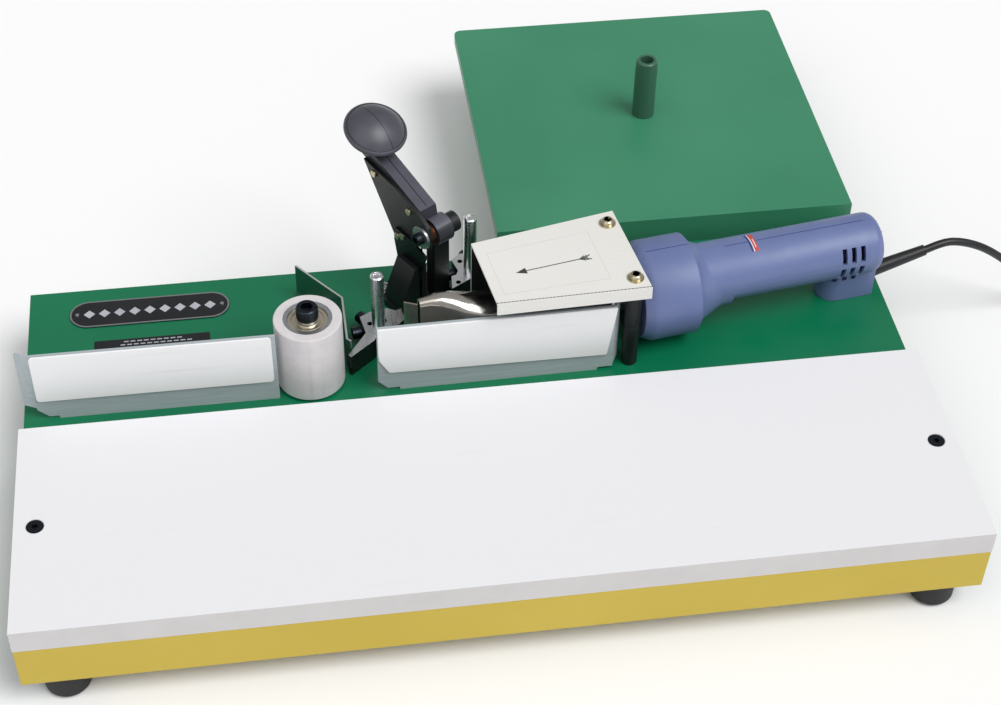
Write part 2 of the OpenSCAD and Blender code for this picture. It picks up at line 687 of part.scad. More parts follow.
module lever_side_plate() color("#131519") at_pivot() difference() {
    slab_x(washer_t, washer_t + plate_t) polygon(side_outline);
    rod_x(0, 10, pivot_d + 2 * hole_gap);
    for (p = concat(lever_screw_spots, blade_screw_spots)) translate([0, p[0], p[1]])
        rod_x(0, 10, 3.1);
}

module lever_screws() color("#b9a05c") at_pivot() {
    for (p = lever_screw_spots) translate([0, p[0], p[1]]) {
        rod_x(washer_t - 1.6, washer_t, 5.6);
        rod_x(washer_t - 0.1, spring_s0, 3);
    }
    for (p = blade_screw_spots) translate([0, p[0], p[1]]) {
        rod_x(blade_s0 - 1.6, blade_s0, 5.6);
        rod_x(blade_s0 - 0.1, spring_s0, 3);
    }
}

// The blade, ground on its front edge, hanging from the side plate into the bracket's slot
blade_outline = [[-5.2, -16.4], [10.3, -64], [24, -59.6], [33, -22], [31, -10], [12, -10.5]];

module cutter_blade() color("#9aa0a6") at_pivot() difference() {
    slab_x(blade_s0, washer_t) polygon(blade_outline);
    for (p = blade_screw_spots) translate([0, p[0], p[1]]) rod_x(-1, 10, 3.1);
}

// The palm knob: a domed mushroom with a rolled rim, on a short neck
module cutter_knob() color("#1f2126") at_pivot() knob_frame()
    rotate_extrude() difference() {
        r = knob_d / 2;
        dome_base = knob_h - knob_dome_h;
        dome_r = (pow(r - 2, 2) + pow(knob_dome_h, 2)) / (2 * knob_dome_h);
        union() {
            square([9, knob_rim_z + 0.5]);
            translate([0, knob_rim_z]) square([r - 3, 6]);
            translate([r - 3, knob_rim_z + 3]) circle(3);
            intersection() {
                translate([0, dome_base]) square([r - 2, knob_dome_h + 1]);
                translate([0, knob_h - dome_r]) circle(dome_r);
            }
        }
        translate([-60, -60]) square([60, 120]);
    }

// ---- hot-air gun ------------------------------------------------------------------------------------------

module gun_axis(z) gun_frame() translate([0, 0, z]) rotate([0, 90, 0]) children();

// The gun's outside, drawn in by inset, as a solid about its two axes
module gun_outside(inset) {
    r = collar_r - inset;
    b = barrel_d / 2 - inset;
    gun_axis(collar_z) rotate_extrude() polygon([[0, collar_u0 + inset], [r - 4.4, collar_u0 + inset],
        [r, collar_u0 + 8.5 + inset * 0.4], [r, collar_u1 - inset * 0.4], [r - 7, collar_u1 + 5],
        [b - 1, cone_u], [b - 1, cone_u + 8], [0, cone_u + 8]]);
    gun_axis(barrel_z) rotate_extrude() difference() {
        union() {
            translate([0, collar_u1]) square([b, barrel_u - 8 - collar_u1]);
            translate([0, barrel_u - 9]) square([b - 8 + inset, 9 - 2.4 * inset]);
            if (inset == 0) translate([b - 8, barrel_u - 8]) circle(8);
        }
        translate([-60, -60]) square([60, 300]);
    }
}

// Three rows of curved air slots round the tail of the barrel
module vent_slots() gun_axis(barrel_z) for (k = [0:2], a = [12, 54, 96], m = [0, 1])
    translate([0, 0, 136 + k * 7.6]) mirror([0, m, 0]) rotate([0, 0, a])
        rotate_extrude(angle = 32) translate([barrel_d / 2 - shell_t - 2, 0]) square([8, 3.8]);

module gun_body() difference() {
    union() {
        gun_outside(0);
        gun_frame() span([foot_u[0], -13, 0.3], [foot_u[1], 13, barrel_z - barrel_d / 2 + 8]);
        gun_frame() translate([foot_u[0], 0, 0.3])
            cylinder(h = barrel_z - barrel_d / 2 + 7.7, d = 26);
    }
    gun_outside(shell_t);
    vent_slots();
    gun_axis(collar_z + 5.6) translate([0, 0, collar_u0 - 5]) cylinder(h = 12, d = nozzle_d + 0.1);
    gun_frame() translate([foot_u[1] - 16, 0, gland_h]) rod_x(0, 20, 9.2);
    gun_frame() span([foot_u[0], -8, 3], [foot_u[1] - 3, 8, barrel_z - barrel_d / 2 + 6]);
    gun_frame() span([barrel_u - 12, -6, barrel_z + 2], [barrel_u + 2, 6, barrel_z + 14]);
    rocker_axis() slab_y(-8.2, 8.2) circle(d = 2 + 2 * run_gap, $fn = 24);
}

module gun_shell_near() color("#5b6796") intersection() {
    gun_body();
    gun_frame() span([-60, -60, -5], [240, 0, 120]);
}

module gun_shell_far() color("#5b6796") intersection() {
    gun_body();
    gun_frame() span([-60, 0, -5], [240, 60, 120]);
}

nozzle_z = barrel_z;
nozzle_v = 3;
slot_w = 9;
slot_h = 49;

// Sections of the nozzle: place along the gun, sideways shift, width and height
nozzle_sections = [[collar_u0 + 22, 0, nozzle_d, nozzle_d], [-139, 0, nozzle_d, nozzle_d],
    [-146, 0.3, nozzle_d - 1.5, nozzle_d + 1], [-156, 1.3, 29, 43], [-166, 2.4, 21, 50],
    [-174, 2.9, 15, 52.5], [-182, nozzle_v, 10.5, 51], [nozzle_tip_u, nozzle_v, slot_w, slot_h]];

// One section's ring: a stadium standing on end, drawn in by inset
function nozzle_ring(q, inset, sides = 32) =
    let (w = q[2] - 2 * inset, h = q[3] - 2 * inset, r = min(w, h) / 2, lift = h / 2 - r)
    [for (k = [0:sides - 1]) let (a = 360 * (k + 0.5) / sides)
        [q[0], q[1] + r * cos(a), r * sin(a) + lift * sign(sin(a))]];

module hot_air_nozzle() color("#c9c6c2") gun_frame() translate([0, 0, nozzle_z]) {
    n = len(nozzle_sections);
    m = 32;
    rings = concat([for (q = nozzle_sections) nozzle_ring(q, 0)],
        [for (i = [n - 1:-1:0]) nozzle_ring(nozzle_sections[i], nozzle_t)]);
    polyhedron(points = [for (r = rings, p = r) p], faces = [for (i = [0:2 * n - 1], k = [0:m - 1])
        let (j = (i + 1) % (2 * n), l = (k + 1) % m)
        [i * m + k, i * m + l, j * m + l, j * m + k]], convexity = 10);
    // The lip that leads the tape past the mouth
    translate([nozzle_tip_u, nozzle_v + slot_w / 2, 9 - slot_h / 2]) linear_extrude(slot_h - 18)
        polygon([[5, -1], [1, -0.8], [-9, 5.4], [-8.4, 6.4], [1.5, 0.6], [5, 0.4]]);
}

module nozzle_clamp() color("#80868a") gun_frame() difference() {
    union() {
        span([post_u - 1.5, -post_v, collar_z - 16], [post_u + 1.5, post_v, collar_z + 27]);
        for (s = [-1, 1])
            translate([post_u, s * post_v, lower_post_h]) cylinder(h = 3, d = post_d);
    }
    for (s = [-1, 1]) {
        translate([post_u, s * post_v, lower_post_h - 1]) cylinder(h = 5, d = m5[0] + 0.4);
        for (z = [[collar_z - 20, lower_post_h], [lower_post_h + 3, collar_z + 30]])
            translate([post_u, s * post_v, z[0]]) cylinder(h = z[1] - z[0], d = post_d + 0.6);
    }
    translate([0, 0, nozzle_z]) rod_x(post_u - 5, post_u + 5, nozzle_d + 0.1);
}

module post(z0, z1) difference() {
    translate([0, 0, z0]) cylinder(h = z1 - z0, d = post_d);
    translate([0, 0, z0 - 1]) cylinder(h = z1 - z0 + 2, d = m5[0] + 0.1);
}

module lower_posts() color("#16181c") gun_frame() for (s = [-1, 1])
    translate([post_u, s * post_v, 0]) post(0, lower_post_h);

module upper_posts() color("#16181c") gun_frame() for (s = [-1, 1])
    translate([post_u, s * post_v, 0]) post(lower_post_h + 3, post_top);

// The shield: a tapered top, a short flange along the fence and a deep wall behind the nozzle
shield_plan = [[-141, 37], [-141, -32], [-28, -45], [-28, 45]];

module heat_shield() color("#f0f0f0") gun_frame() difference() {
    union() {
        translate([0, 0, post_top]) linear_extrude(shield_t) polygon(shield_plan);
        shield_wall(shield_plan[1], shield_plan[2], post_top - 9);
        shield_wall(shield_plan[3], shield_plan[0], 34);
    }
    for (s = [-1, 1]) translate([post_u, s * post_v, post_top - 1])
        cylinder(h = 5, d = m5[0] + 2 * hole_gap);
}

// A wall of the shield that hangs from one of its edges down to height z
module shield_wall(a, b, z) {
    d = (b - a) / norm(b - a);
    n = [-d[1], d[0]] * shield_t;
    translate([0, 0, z]) linear_extrude(shield_h - z) polygon([a, b, b + n, a + n]);
}

module shield_screws() color("#c9b98a") gun_frame() for (s = [-1, 1])
    translate([post_u, s * post_v, shield_h]) {
        pan_screw(m5, shield_h + sheet_t + 6, 1);
        translate([0, 0, -shield_h - sheet_t]) nut(m5[0], 8, 4);
    }

// Inside the gun: a ceramic heater in the collar, a motor and a fan in the barrel
module heater_core() color("#e8e0cc") gun_axis(nozzle_z) difference() {
    union() {
        translate([0, 0, -100]) cylinder(h = 97, d = nozzle_d - 2 * nozzle_t - 6);
        translate([0, 0, collar_u0 + 22.1]) cylinder(h = 18.9, d = nozzle_d - 2 * nozzle_t + 6);
        translate([0, 0, 15]) cylinder(h = 3, d = barrel_d - 2 * shell_t);
    }
    for (a = [0:60:300]) rotate([0, 0, a]) translate([8, 0, -101]) cylinder(h = 122, d = 6);
}

module fan_motor() color("#8a8f94") gun_axis(barrel_z) {
    translate([0, 0, 62]) cylinder(h = 38, d = 30);
    translate([0, 0, 62]) for (a = [0:90:270]) rotate([0, 0, a])
        translate([0, -2, 10]) cube([barrel_d / 2 - shell_t - 0.3, 4, 16]);
    translate([0, 0, 99.9]) cylinder(h = 26.1, d = 3);
}

module blower_fan() color("#3b3f45") gun_axis(barrel_z) difference() {
    union() {
        translate([0, 0, 104]) cylinder(h = 14, d = 12);
        translate([0, 0, 104]) cylinder(h = 1.5, d = 38);
        for (a = [0:45:315]) rotate([0, 0, a]) translate([5, -0.75, 105]) cube([13.5, 1.5, 12]);
    }
    translate([0, 0, 100]) cylinder(h = 30, d = 3 + 2 * run_gap);
}

// The rocker in the tail of the gun, about a cross pin
module rocker_axis() gun_frame() translate([barrel_u - 3, 0, barrel_z + 8]) children();

module rocker_switch() color("#16181c") rocker_axis() {
    slab_y(-5.6, 5.6) polygon([[-4, -4], [2, -5.3], [4.2, -4.9], [3.4, 0], [5.2, 4.6], [3, 5.3],
        [-4, 4]]);
    slab_y(-8, 8) circle(d = 2, $fn = 24);
}

// The cord's rubber gland, rising out of the gun's stand
module cord_gland() color("#1c1e22") gun_frame() translate([foot_u[1], 0, gland_h]) {
    rod_x(-12, gland_out, 9);
    translate([gland_out, 0, 0]) {
        sphere(d = gland_d);
        rotate([0, 90 - gland_rise, 0]) cylinder(h = gland_len, d1 = gland_d, d2 = 8.6);
    }
}

// ---- power cord -----------------------------------------------------------------------------------------------

// Route of the free cord from the gland to the coil, chosen by hand (x, y and height)
function gun_world(p) = let (q = gun_point([p[0], p[1]])) [q[0], fence_y + q[1], deck_z + p[2]];
cord_start = gun_world([foot_u[1] + gland_out + gland_len * cos(gland_rise), 0,
    gland_h + gland_len * sin(gland_rise)]);
coil_at = [556, 38];
coil_r = 34;
coil_span = 12.5;    // how much wider the coil's outermost turn is than its innermost, in radius
coil_layers = 4;
coil_outer = coil_r + coil_span / 2;
lie = cord_d / 2;
coil_top = (coil_layers - 1) * (cord_d + 0.1) + lie;
cord_route = [cord_start, [388, -28, 87], [412, -26, 79], [436, -24, 62], [456, -22, 41],
    [474, -19, 22], [492, -15, 9], [510, -10, lie + 0.4], [532, -3, lie],
    [coil_at[0], coil_at[1] - coil_outer, lie]];

// Route of the short tail from the top of the coil down to the plug
plug_h = 17;
tail_route = [[coil_at[0] + coil_outer, coil_at[1], coil_top],
    [596.4, 52, 22], [596.5, 68, 17.5], [596.5, 84, 11.5], [596.5, 98, plug_h / 2]];

// A point on a smooth curve through the route, by Catmull-Rom
function curve_point(p, i, t) =
    let (a = p[max(i - 1, 0)], b = p[i], c = p[i + 1], d = p[min(i + 2, len(p) - 1)])
    0.5 * (2 * b + (c - a) * t + (2 * a - 5 * b + 4 * c - d) * t * t
        + (3 * b - a - 3 * c + d) * t * t * t);
function curve(p, n) = concat([for (i = [0:len(p) - 2], k = [0:n - 1]) curve_point(p, i, k / n)],
    [p[len(p) - 1]]);
function unit(v) = v / norm(v);
function along(p, i) = unit(p[min(i + 1, len(p) - 1)] - p[max(i - 1, 0)]);

// A round tube swept along points
module tube(p, d, sides = 10) {
    rings = [for (i = [0:len(p) - 1]) let (t = along(p, i), side = unit(cross(t, [0, 0, 1])),
        up = cross(side, t)) [for (k = [0:sides - 1])
            p[i] + d / 2 * (cos(360 * k / sides) * side + sin(360 * k / sides) * up)]];
    n = len(p);
    polyhedron(points = [for (r = rings, q = r) q], faces = concat(
        [[for (k = [0:sides - 1]) k]],
        [for (i = [0:n - 2], k = [0:sides - 1]) [i * sides + k, (i + 1) * sides + k,
            (i + 1) * sides + (k + 1) % sides, i * sides + (k + 1) % sides]],
        [[for (k = [sides - 1:-1:0]) (n - 1) * sides + k]]), convexity = 10);
}

module power_cord() color("#1c1e22") tube(curve(cord_route, 3), cord_d);

module cord_coil() color("#1c1e22") translate([coil_at[0], coil_at[1], 0]) rotate_extrude()
    round_rect([coil_r - coil_span / 2 - lie, 0], [coil_outer + lie, coil_top + lie], lie);

module cord_tie() color("#2a2c30") translate([coil_at[0] - coil_r, coil_at[1], 0]) {
    reach = coil_span / 2 + lie + 0.5;
    top = coil_top + lie + 0.5;
    difference() {
        span([-reach - 1.2, -4, 0], [reach + 1.2, 4, top + 1.2]);
        span([-reach, -5, -1], [reach, 5, top]);
    }
}

module cord_tail() color("#1c1e22") tube(curve(tail_route, 3), cord_d);

module plug_frame() translate(tail_route[len(tail_route) - 1]) children();

module plug_body() color("#1c1e22") plug_frame() {
    translate([0, 0, -plug_h / 2]) linear_extrude(plug_h) polygon([[-8, 12], [-17, 22], [-18.5, 30],
        [-18.5, 42], [18.5, 42], [18.5, 30], [17, 22], [8, 12]]);
    rotate([-90, 0, 0]) cylinder(h = 14, d1 = cord_d + 2, d2 = 12);
}

module plug_pins() color("#c9b06a") plug_frame() for (s = [-1, 1])
    translate([s * 9.5, 42, 0]) rotate([-90, 0, 0]) cylinder(h = 19, d = 4.8);

// ---- plates ---------------------------------------------------------------------------------------------------

module name_plate() color("#121214") on_deck(-238.4, 134.2) {
    linear_extrude(0.8) round_rect([-61, -14.5], [61, 14.5], 14.4);
    for (s = [-1, 1]) translate([s * 55.2, 0, 0]) cylinder(h = 1.6, d = 3);
}

module spec_label() color("#1c1c1e") on_deck(-237, 89)
    linear_extrude(0.3) round_rect([-43.5, -15], [43.5, 15], 1);

base_pan();
front_fascia();
foot(0);  // foot_front_left
foot(2);  // foot_front_right
foot(1);  // foot_rear_left
foot(3);  // foot_rear_right
foot_screws();
work_board();
board_screws();
reel_tray();
tray_spacers();
tray_bolts();
reel_spindle();
spindle_screw();
roller_axle();
roller_spacers();
roller_tyre();
roller_core();
roller_bearings();
roller_guard();
outfeed_fence();
outfeed_pad();
infeed_fence();
infeed_pad();
deck_screws();
outfeed_block();
infeed_block();
tape_pins();
block_screws();
cutter_bracket();
pivot_bolt();
pivot_washer();
return_spring();
cutter_lever();
lever_side_plate();
lever_screws();
cutter_blade();
cutter_knob();
pivot_bush();
nozzle_clamp();
lower_posts();
upper_posts();
heat_shield();
shield_screws();
gun_shell_near();
gun_shell_far();
hot_air_nozzle();
heater_core();
fan_motor();
blower_fan();
rocker_switch();
cord_gland();
power_cord();
cord_coil();
cord_tie();
cord_tail();
plug_body();
plug_pins();
name_plate();
spec_label();
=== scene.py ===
# %% [markdown]
# # Bench-top edge banding machine
# The machine is a low sheet-steel table. A panel slides along two fences on a white laminated board,
# a hot-air gun softens the glue on the edging tape, a rubber roller presses the tape on, and a lever
# works the cutter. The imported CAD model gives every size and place. This script adds what CAD leaves
# out: softened edges, real finishes, a flexible cord, and the light of a small studio.

# %% Load the frame
import json
import math
import bmesh
import bpy
from mathutils import Matrix, Vector


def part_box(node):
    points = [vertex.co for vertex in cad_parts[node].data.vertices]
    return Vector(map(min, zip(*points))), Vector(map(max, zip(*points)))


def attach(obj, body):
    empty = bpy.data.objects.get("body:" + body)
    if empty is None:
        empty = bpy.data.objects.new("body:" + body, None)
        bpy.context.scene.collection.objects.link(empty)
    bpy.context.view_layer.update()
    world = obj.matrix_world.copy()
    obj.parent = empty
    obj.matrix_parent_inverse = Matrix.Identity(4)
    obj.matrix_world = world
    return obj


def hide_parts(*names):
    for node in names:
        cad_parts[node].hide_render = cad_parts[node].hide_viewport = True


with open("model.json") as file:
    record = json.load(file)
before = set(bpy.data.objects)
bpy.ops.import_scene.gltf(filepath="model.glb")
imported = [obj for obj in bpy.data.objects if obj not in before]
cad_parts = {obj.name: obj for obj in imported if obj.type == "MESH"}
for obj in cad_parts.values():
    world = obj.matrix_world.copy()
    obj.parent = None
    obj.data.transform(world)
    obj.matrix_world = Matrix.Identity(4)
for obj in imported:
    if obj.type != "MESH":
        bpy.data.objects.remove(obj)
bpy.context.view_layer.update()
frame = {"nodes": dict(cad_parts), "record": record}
MM = 0.001
RECORD_BODIES = frame["record"]["behaviour"]["bodies"]
BODY_OF = {node: body for body, nodes in RECORD_BODIES.items() for node in nodes}

# %% [markdown]
# ## Camera
# The camera stands in front of the machine, a little to the left, and looks down at 44 degrees. Its
# three axes are worked out from those angles, and a matrix of them places it in one step.

# %% Place the camera
def look_matrix(place, azimuth, elevation, roll):
    a, e, r = (math.radians(x) for x in (azimuth, elevation, roll))
    ahead = Vector((-math.sin(a) * math.cos(e), math.cos(a) * math.cos(e), -math.sin(e)))
    right = Vector((math.cos(a), math.sin(a), 0.0))
    up = right.cross(ahead)
    side = right * math.cos(r) + up * math.sin(r)
    top = up * math.cos(r) - right * math.sin(r)
    turn = Matrix((side, top, -ahead)).transposed()
    return Matrix.Translation(place) @ turn.to_4x4()

lens = bpy.data.cameras.new("camera")
lens.sensor_width = 36.0
lens.lens = 68.22
camera = bpy.data.objects.new("camera", lens)
camera.matrix_world = look_matrix((-0.1374, -1.0997, 1.0580), -8.956, 44.045, 1.232)
bpy.context.scene.collection.objects.link(camera)
bpy.context.scene.camera = camera
print("camera:", [round(x, 3) for x in camera.location])

# %% [markdown]
# ## Colour and node helpers
# Screen colours are stored with a curve, and a shader wants them linear. One function turns a hex
# colour into linear light. Another adds a shader node, sets its values and joins its inputs, so that a
# finish reads as a short list of steps.

# %% Helpers for finishes
def linear(hex_colour):
    parts = [int(hex_colour[i:i + 2], 16) / 255 for i in (1, 3, 5)]
    return [c / 12.92 if c <= 0.04045 else ((c + 0.055) / 1.055) ** 2.4 for c in parts] + [1.0]

def add_node(tree, kind, values=None, links=None, **settings):
    node = tree.nodes.new(kind)
    for name, value in settings.items():
        setattr(node, name, value)
    for key, value in (values or {}).items():
        node.inputs[key].default_value = value
    for key, socket in (links or {}).items():
        tree.links.new(socket, node.inputs[key])
    return node

FINISHES = {}

def new_finish(name, colour, roughness, metallic=0.0, **sockets):
    finish = bpy.data.materials.new(name)
    finish.use_nodes = True
    tree = finish.node_tree
    shader = tree.nodes["Principled BSDF"]
    shader.inputs["Base Color"].default_value = linear(colour)
    shader.inputs["Roughness"].default_value = roughness
    shader.inputs["Metallic"].default_value = metallic
    for key, value in sockets.items():
        shader.inputs[key.replace("_", " ")].default_value = value
    FINISHES[name] = finish
    place = add_node(tree, "ShaderNodeTexCoord").outputs["Object"]
    return tree, shader, place

def noise(tree, place, size_mm, detail=3.0, stretch=(1, 1, 1), rough=0.55):
    spread = add_node(tree, "ShaderNodeMapping", {"Scale": stretch}, {"Vector": place})
    return add_node(tree, "ShaderNodeTexNoise",
                    {"Scale": 1.0 / (size_mm * MM), "Detail": detail, "Roughness": rough},
                    {"Vector": spread.outputs[0]}).outputs["Fac"]

def ramp(tree, value, low, high, start, end):
    return add_node(tree, "ShaderNodeMapRange",
                    {"From Min": low, "From Max": high, "To Min": start, "To Max": end},
                    {"Value": value}, clamp=True).outputs["Result"]

def blend_colours(tree, amount, first, second):
    mix = add_node(tree, "ShaderNodeMix", None, {"Factor": amount}, data_type="RGBA")
    for key, colour in (("A", first), ("B", second)):
        socket = next(s for s in mix.inputs if s.name == key and s.type == "RGBA")
        if isinstance(colour, str):
            socket.default_value = linear(colour)
        else:
            tree.links.new(colour, socket)
    return next(s for s in mix.outputs if s.type == "RGBA")

def bump(tree, shader, height, strength, depth_mm):
    ridge = add_node(tree, "ShaderNodeBump", {"Strength": strength, "Distance": depth_mm * MM},
                     {"Height": height})
    tree.links.new(ridge.outputs["Normal"], shader.inputs["Normal"])

# %% [markdown]
# ## Painted steel
# The table, the fascia and the tray are folded sheet with a baked enamel. Baked paint dries with a
# faint orange peel, a ripple about 2 mm across. It shows as a slight waver in the highlights, so
# it is a low bump and a small change of roughness, with a broad, soft change of colour above it.

# %% Enamel finishes
def enamel(name, colour, deep, roughness, peel=0.16):
    tree, shader, place = new_finish(name, colour, roughness, IOR=1.5)
    broad = noise(tree, place, 160, 2.0)
    tone = blend_colours(tree, ramp(tree, broad, 0.35, 0.65, 0.0, 1.0), colour, deep)
    tree.links.new(tone, shader.inputs["Base Color"])
    fine = noise(tree, place, 2.2, 2.0)
    smear = noise(tree, place, 24, 3.0, (1, 2.5, 1))
    tree.links.new(ramp(tree, smear, 0.3, 0.7, roughness - 0.06, roughness + 0.08),
                   shader.inputs["Roughness"])
    bump(tree, shader, fine, peel, 0.05)

enamel("deck_enamel", "#026D49", "#07744D", 0.34)
enamel("tray_enamel", "#3F8B69", "#378462", 0.40)
enamel("fascia_enamel", "#C3AA35", "#C8B03D", 0.38)
enamel("spindle_enamel", "#3F6C57", "#355F4B", 0.34)
enamel("guard_enamel", "#1B5A42", "#174E38", 0.36)
enamel("shield_enamel", "#E9E8E4", "#E4E3DE", 0.30, 0.1)
# Painted shade: a near-black for the inside of the shield, where shade falls.
enamel("shield_lining", "#1A1A1C", "#222224", 0.6, 0.1)
print("enamels:", len(FINISHES))

# %% [markdown]
# ## Laminated board and slippery pads
# The work board is particle board faced with white melamine. The film is pressed against a fine
# textured plate, which leaves shallow ripples about 3 mm apart that run along the board. The pads are a
# hard white plastic sheet that panels rub along, so they get faint scuffs in the feed direction.

# %% White sheet finishes
tree, shader, place = new_finish("melamine", "#ECECEF", 0.34, IOR=1.5)
ripple = noise(tree, place, 3.4, 2.0, (0.03, 1, 1))
scuff = noise(tree, place, 5.0, 4.0, (0.04, 1, 1))
mark = ramp(tree, scuff, 0.68, 0.82, 0.0, 0.30)
tree.links.new(blend_colours(tree, mark, "#ECECEF", "#C9C9CE"), shader.inputs["Base Color"])
tree.links.new(ramp(tree, scuff, 0.4, 0.7, 0.30, 0.44), shader.inputs["Roughness"])
bump(tree, shader, ripple, 0.35, 0.06)

tree, shader, place = new_finish("slippery_plastic", "#F4F4F5", 0.42, IOR=1.46)
rub = noise(tree, place, 4.0, 4.0, (0.05, 1, 1))
tree.links.new(blend_colours(tree, ramp(tree, rub, 0.62, 0.8, 0.0, 0.4), "#F4F4F5", "#D6D8DA"),
               shader.inputs["Base Color"])
bump(tree, shader, rub, 0.08, 0.03)

# %% [markdown]
# ## Bare metals
# Bright parts are zinc plate, machined aluminium, chrome or bearing steel. They share one idea: a metal
# whose roughness changes along the way it was made. A turned part has rings round its axis, and plating is
# blotchy. A metal keeps its own IOR, so only the colour and the roughness are set.

# %% Metal finishes
def metal(name, colour, dull, roughness, size_mm, stretch=(1, 1, 1), relief=0.15):
    tree, shader, place = new_finish(name, colour, roughness, 1.0)
    grain = noise(tree, place, size_mm, 4.0, stretch, 0.6)
    tree.links.new(blend_colours(tree, ramp(tree, grain, 0.35, 0.75, 0.0, 1.0), colour, dull),
                   shader.inputs["Base Color"])
    tree.links.new(ramp(tree, grain, 0.3, 0.7, roughness - 0.08, roughness + 0.12),
                   shader.inputs["Roughness"])
    bump(tree, shader, grain, relief, 0.02)

metal("zinc_plate", "#C6CACC", "#A9AEB1", 0.30, 3.0)
metal("turned_aluminium", "#C9CDD0", "#B2B7BA", 0.32, 0.8, (0.2, 0.2, 1))
metal("bearing_steel", "#DCD4C3", "#CFC5B0", 0.38, 8.0, (1, 1, 1), 0.02)
metal("bright_chrome", "#EDEEF0", "#DDE0E3", 0.22, 6.0, (1, 1, 0.3), 0.03)
metal("copper_wire", "#6A4430", "#523222", 0.40, 2.0)
metal("sintered_bronze", "#A8823C", "#8A6A30", 0.42, 0.9)
metal("yellow_zinc", "#D2CAB0", "#B9AE8C", 0.26, 1.6)
# The guard's sheared top edge: bare metal, made brighter as a painted highlight where light catches the edge.
metal("cut_edge", "#E9EAEB", "#D2D4D6", 0.5, 1.2)
metal("black_oxide", "#3A4048", "#2A2F36", 0.34, 1.4)
metal("motor_can", "#8A8F94", "#7A7F84", 0.36, 2.5, (1, 1, 0.3))

# %% [markdown]
# The guide blocks are sawn from plate: their tops are milled bright and their sides stay black from the
# mill. The face's own direction tells the two apart, so one finish covers a whole block.

# %% Milled block finish
tree, shader, place = new_finish("milled_plate", "#DDE0E2", 0.30, 1.0)
cutter_lines = noise(tree, place, 1.4, 3.0, (1, 0.12, 1))
up_face = add_node(tree, "ShaderNodeSeparateXYZ", None,
                   {"Vector": add_node(tree, "ShaderNodeNewGeometry").outputs["Normal"]}).outputs["Z"]
is_top = ramp(tree, up_face, 0.6, 0.8, 0.0, 1.0)
tree.links.new(blend_colours(tree, is_top, "#17181B", "#E6E8EA"), shader.inputs["Base Color"])
tree.links.new(ramp(tree, is_top, 0.0, 1.0, 0.35, 1.0), shader.inputs["Metallic"])
tree.links.new(ramp(tree, cutter_lines, 0.3, 0.7, 0.24, 0.42), shader.inputs["Roughness"])
bump(tree, shader, cutter_lines, 0.2, 0.03)

# %% [markdown]
# The fences are galvanised sheet that has gone dull. The grey oxide on top scatters light like chalk, so
# the finish is only partly metal, and fairly rough, with rolling lines along the sheet.

# %% Dull galvanised finish
tree, shader, place = new_finish("galvanised_sheet", "#BCC2C8", 0.5, 0.1)
rolled = noise(tree, place, 2.0, 4.0, (0.05, 1, 1), 0.6)
tree.links.new(blend_colours(tree, ramp(tree, rolled, 0.35, 0.75, 0.0, 1.0), "#B6BFC3", "#A6B0B4"),
               shader.inputs["Base Color"])
tree.links.new(ramp(tree, rolled, 0.3, 0.7, 0.40, 0.54), shader.inputs["Roughness"])
bump(tree, shader, rolled, 0.12, 0.02)

# %% [markdown]
# The nozzle is stainless tube that was pressed flat. Heat tints it straw and then brown towards the
# mouth, which is where the air leaves at several hundred degrees. The tint follows the
# distance to the mouth along the machine.

# %% Heat-tinted steel
mouth_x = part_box("hot_air_nozzle")[0][0]
tree, shader, place = new_finish("tinted_stainless", "#D8D4CE", 0.16, 1.0)
along_x = add_node(tree, "ShaderNodeSeparateXYZ", None, {"Vector": place}).outputs["X"]
heat = ramp(tree, along_x, mouth_x, mouth_x + 0.075, 1.0, 0.0)
cloud = noise(tree, place, 9.0, 3.0)
tint = blend_colours(tree, heat, "#E0DFDE", "#CDC4B8")
tree.links.new(blend_colours(tree, ramp(tree, cloud, 0.45, 0.7, 0.0, 0.35), tint, "#A79C92"),
               shader.inputs["Base Color"])
tree.links.new(ramp(tree, cloud, 0.3, 0.7, 0.10, 0.26), shader.inputs["Roughness"])
bump(tree, shader, cloud, 0.12, 0.08)

# %% [markdown]
# ## Rubbers, plastics and black paint
# The roller tyre is ground to size, which leaves fine rings round it. The gun's shells are ABS from a
# spark-eroded mould, a fine even grain of about half a millimetre that spreads the highlights. The cutter is
# painted black over castings, and the knob is a polished phenolic moulding with wear marks.

# %% Rubber and plastic finishes
tree, shader, place = new_finish("ground_rubber", "#D8D4D6", 0.66, IOR=1.5)
rings = noise(tree, place, 0.9, 2.0, (0.02, 0.02, 1))
dirt = noise(tree, place, 11, 4.0)
tree.links.new(blend_colours(tree, ramp(tree, dirt, 0.45, 0.75, 0.0, 0.5), "#DAD6D8", "#C9C4C6"),
               shader.inputs["Base Color"])
bump(tree, shader, rings, 0.25, 0.04)

def grained(name, colour, other, roughness, grain_mm, relief, depth_mm=0.04, **sockets):
    tree, shader, place = new_finish(name, colour, roughness, **sockets)
    grain = noise(tree, place, grain_mm, 2.0)
    broad = noise(tree, place, 30, 3.0)
    tree.links.new(blend_colours(tree, ramp(tree, broad, 0.35, 0.7, 0.0, 1.0), colour, other),
                   shader.inputs["Base Color"])
    tree.links.new(ramp(tree, broad, 0.3, 0.7, roughness - 0.05, roughness + 0.07),
                   shader.inputs["Roughness"])
    bump(tree, shader, grain, relief, depth_mm)

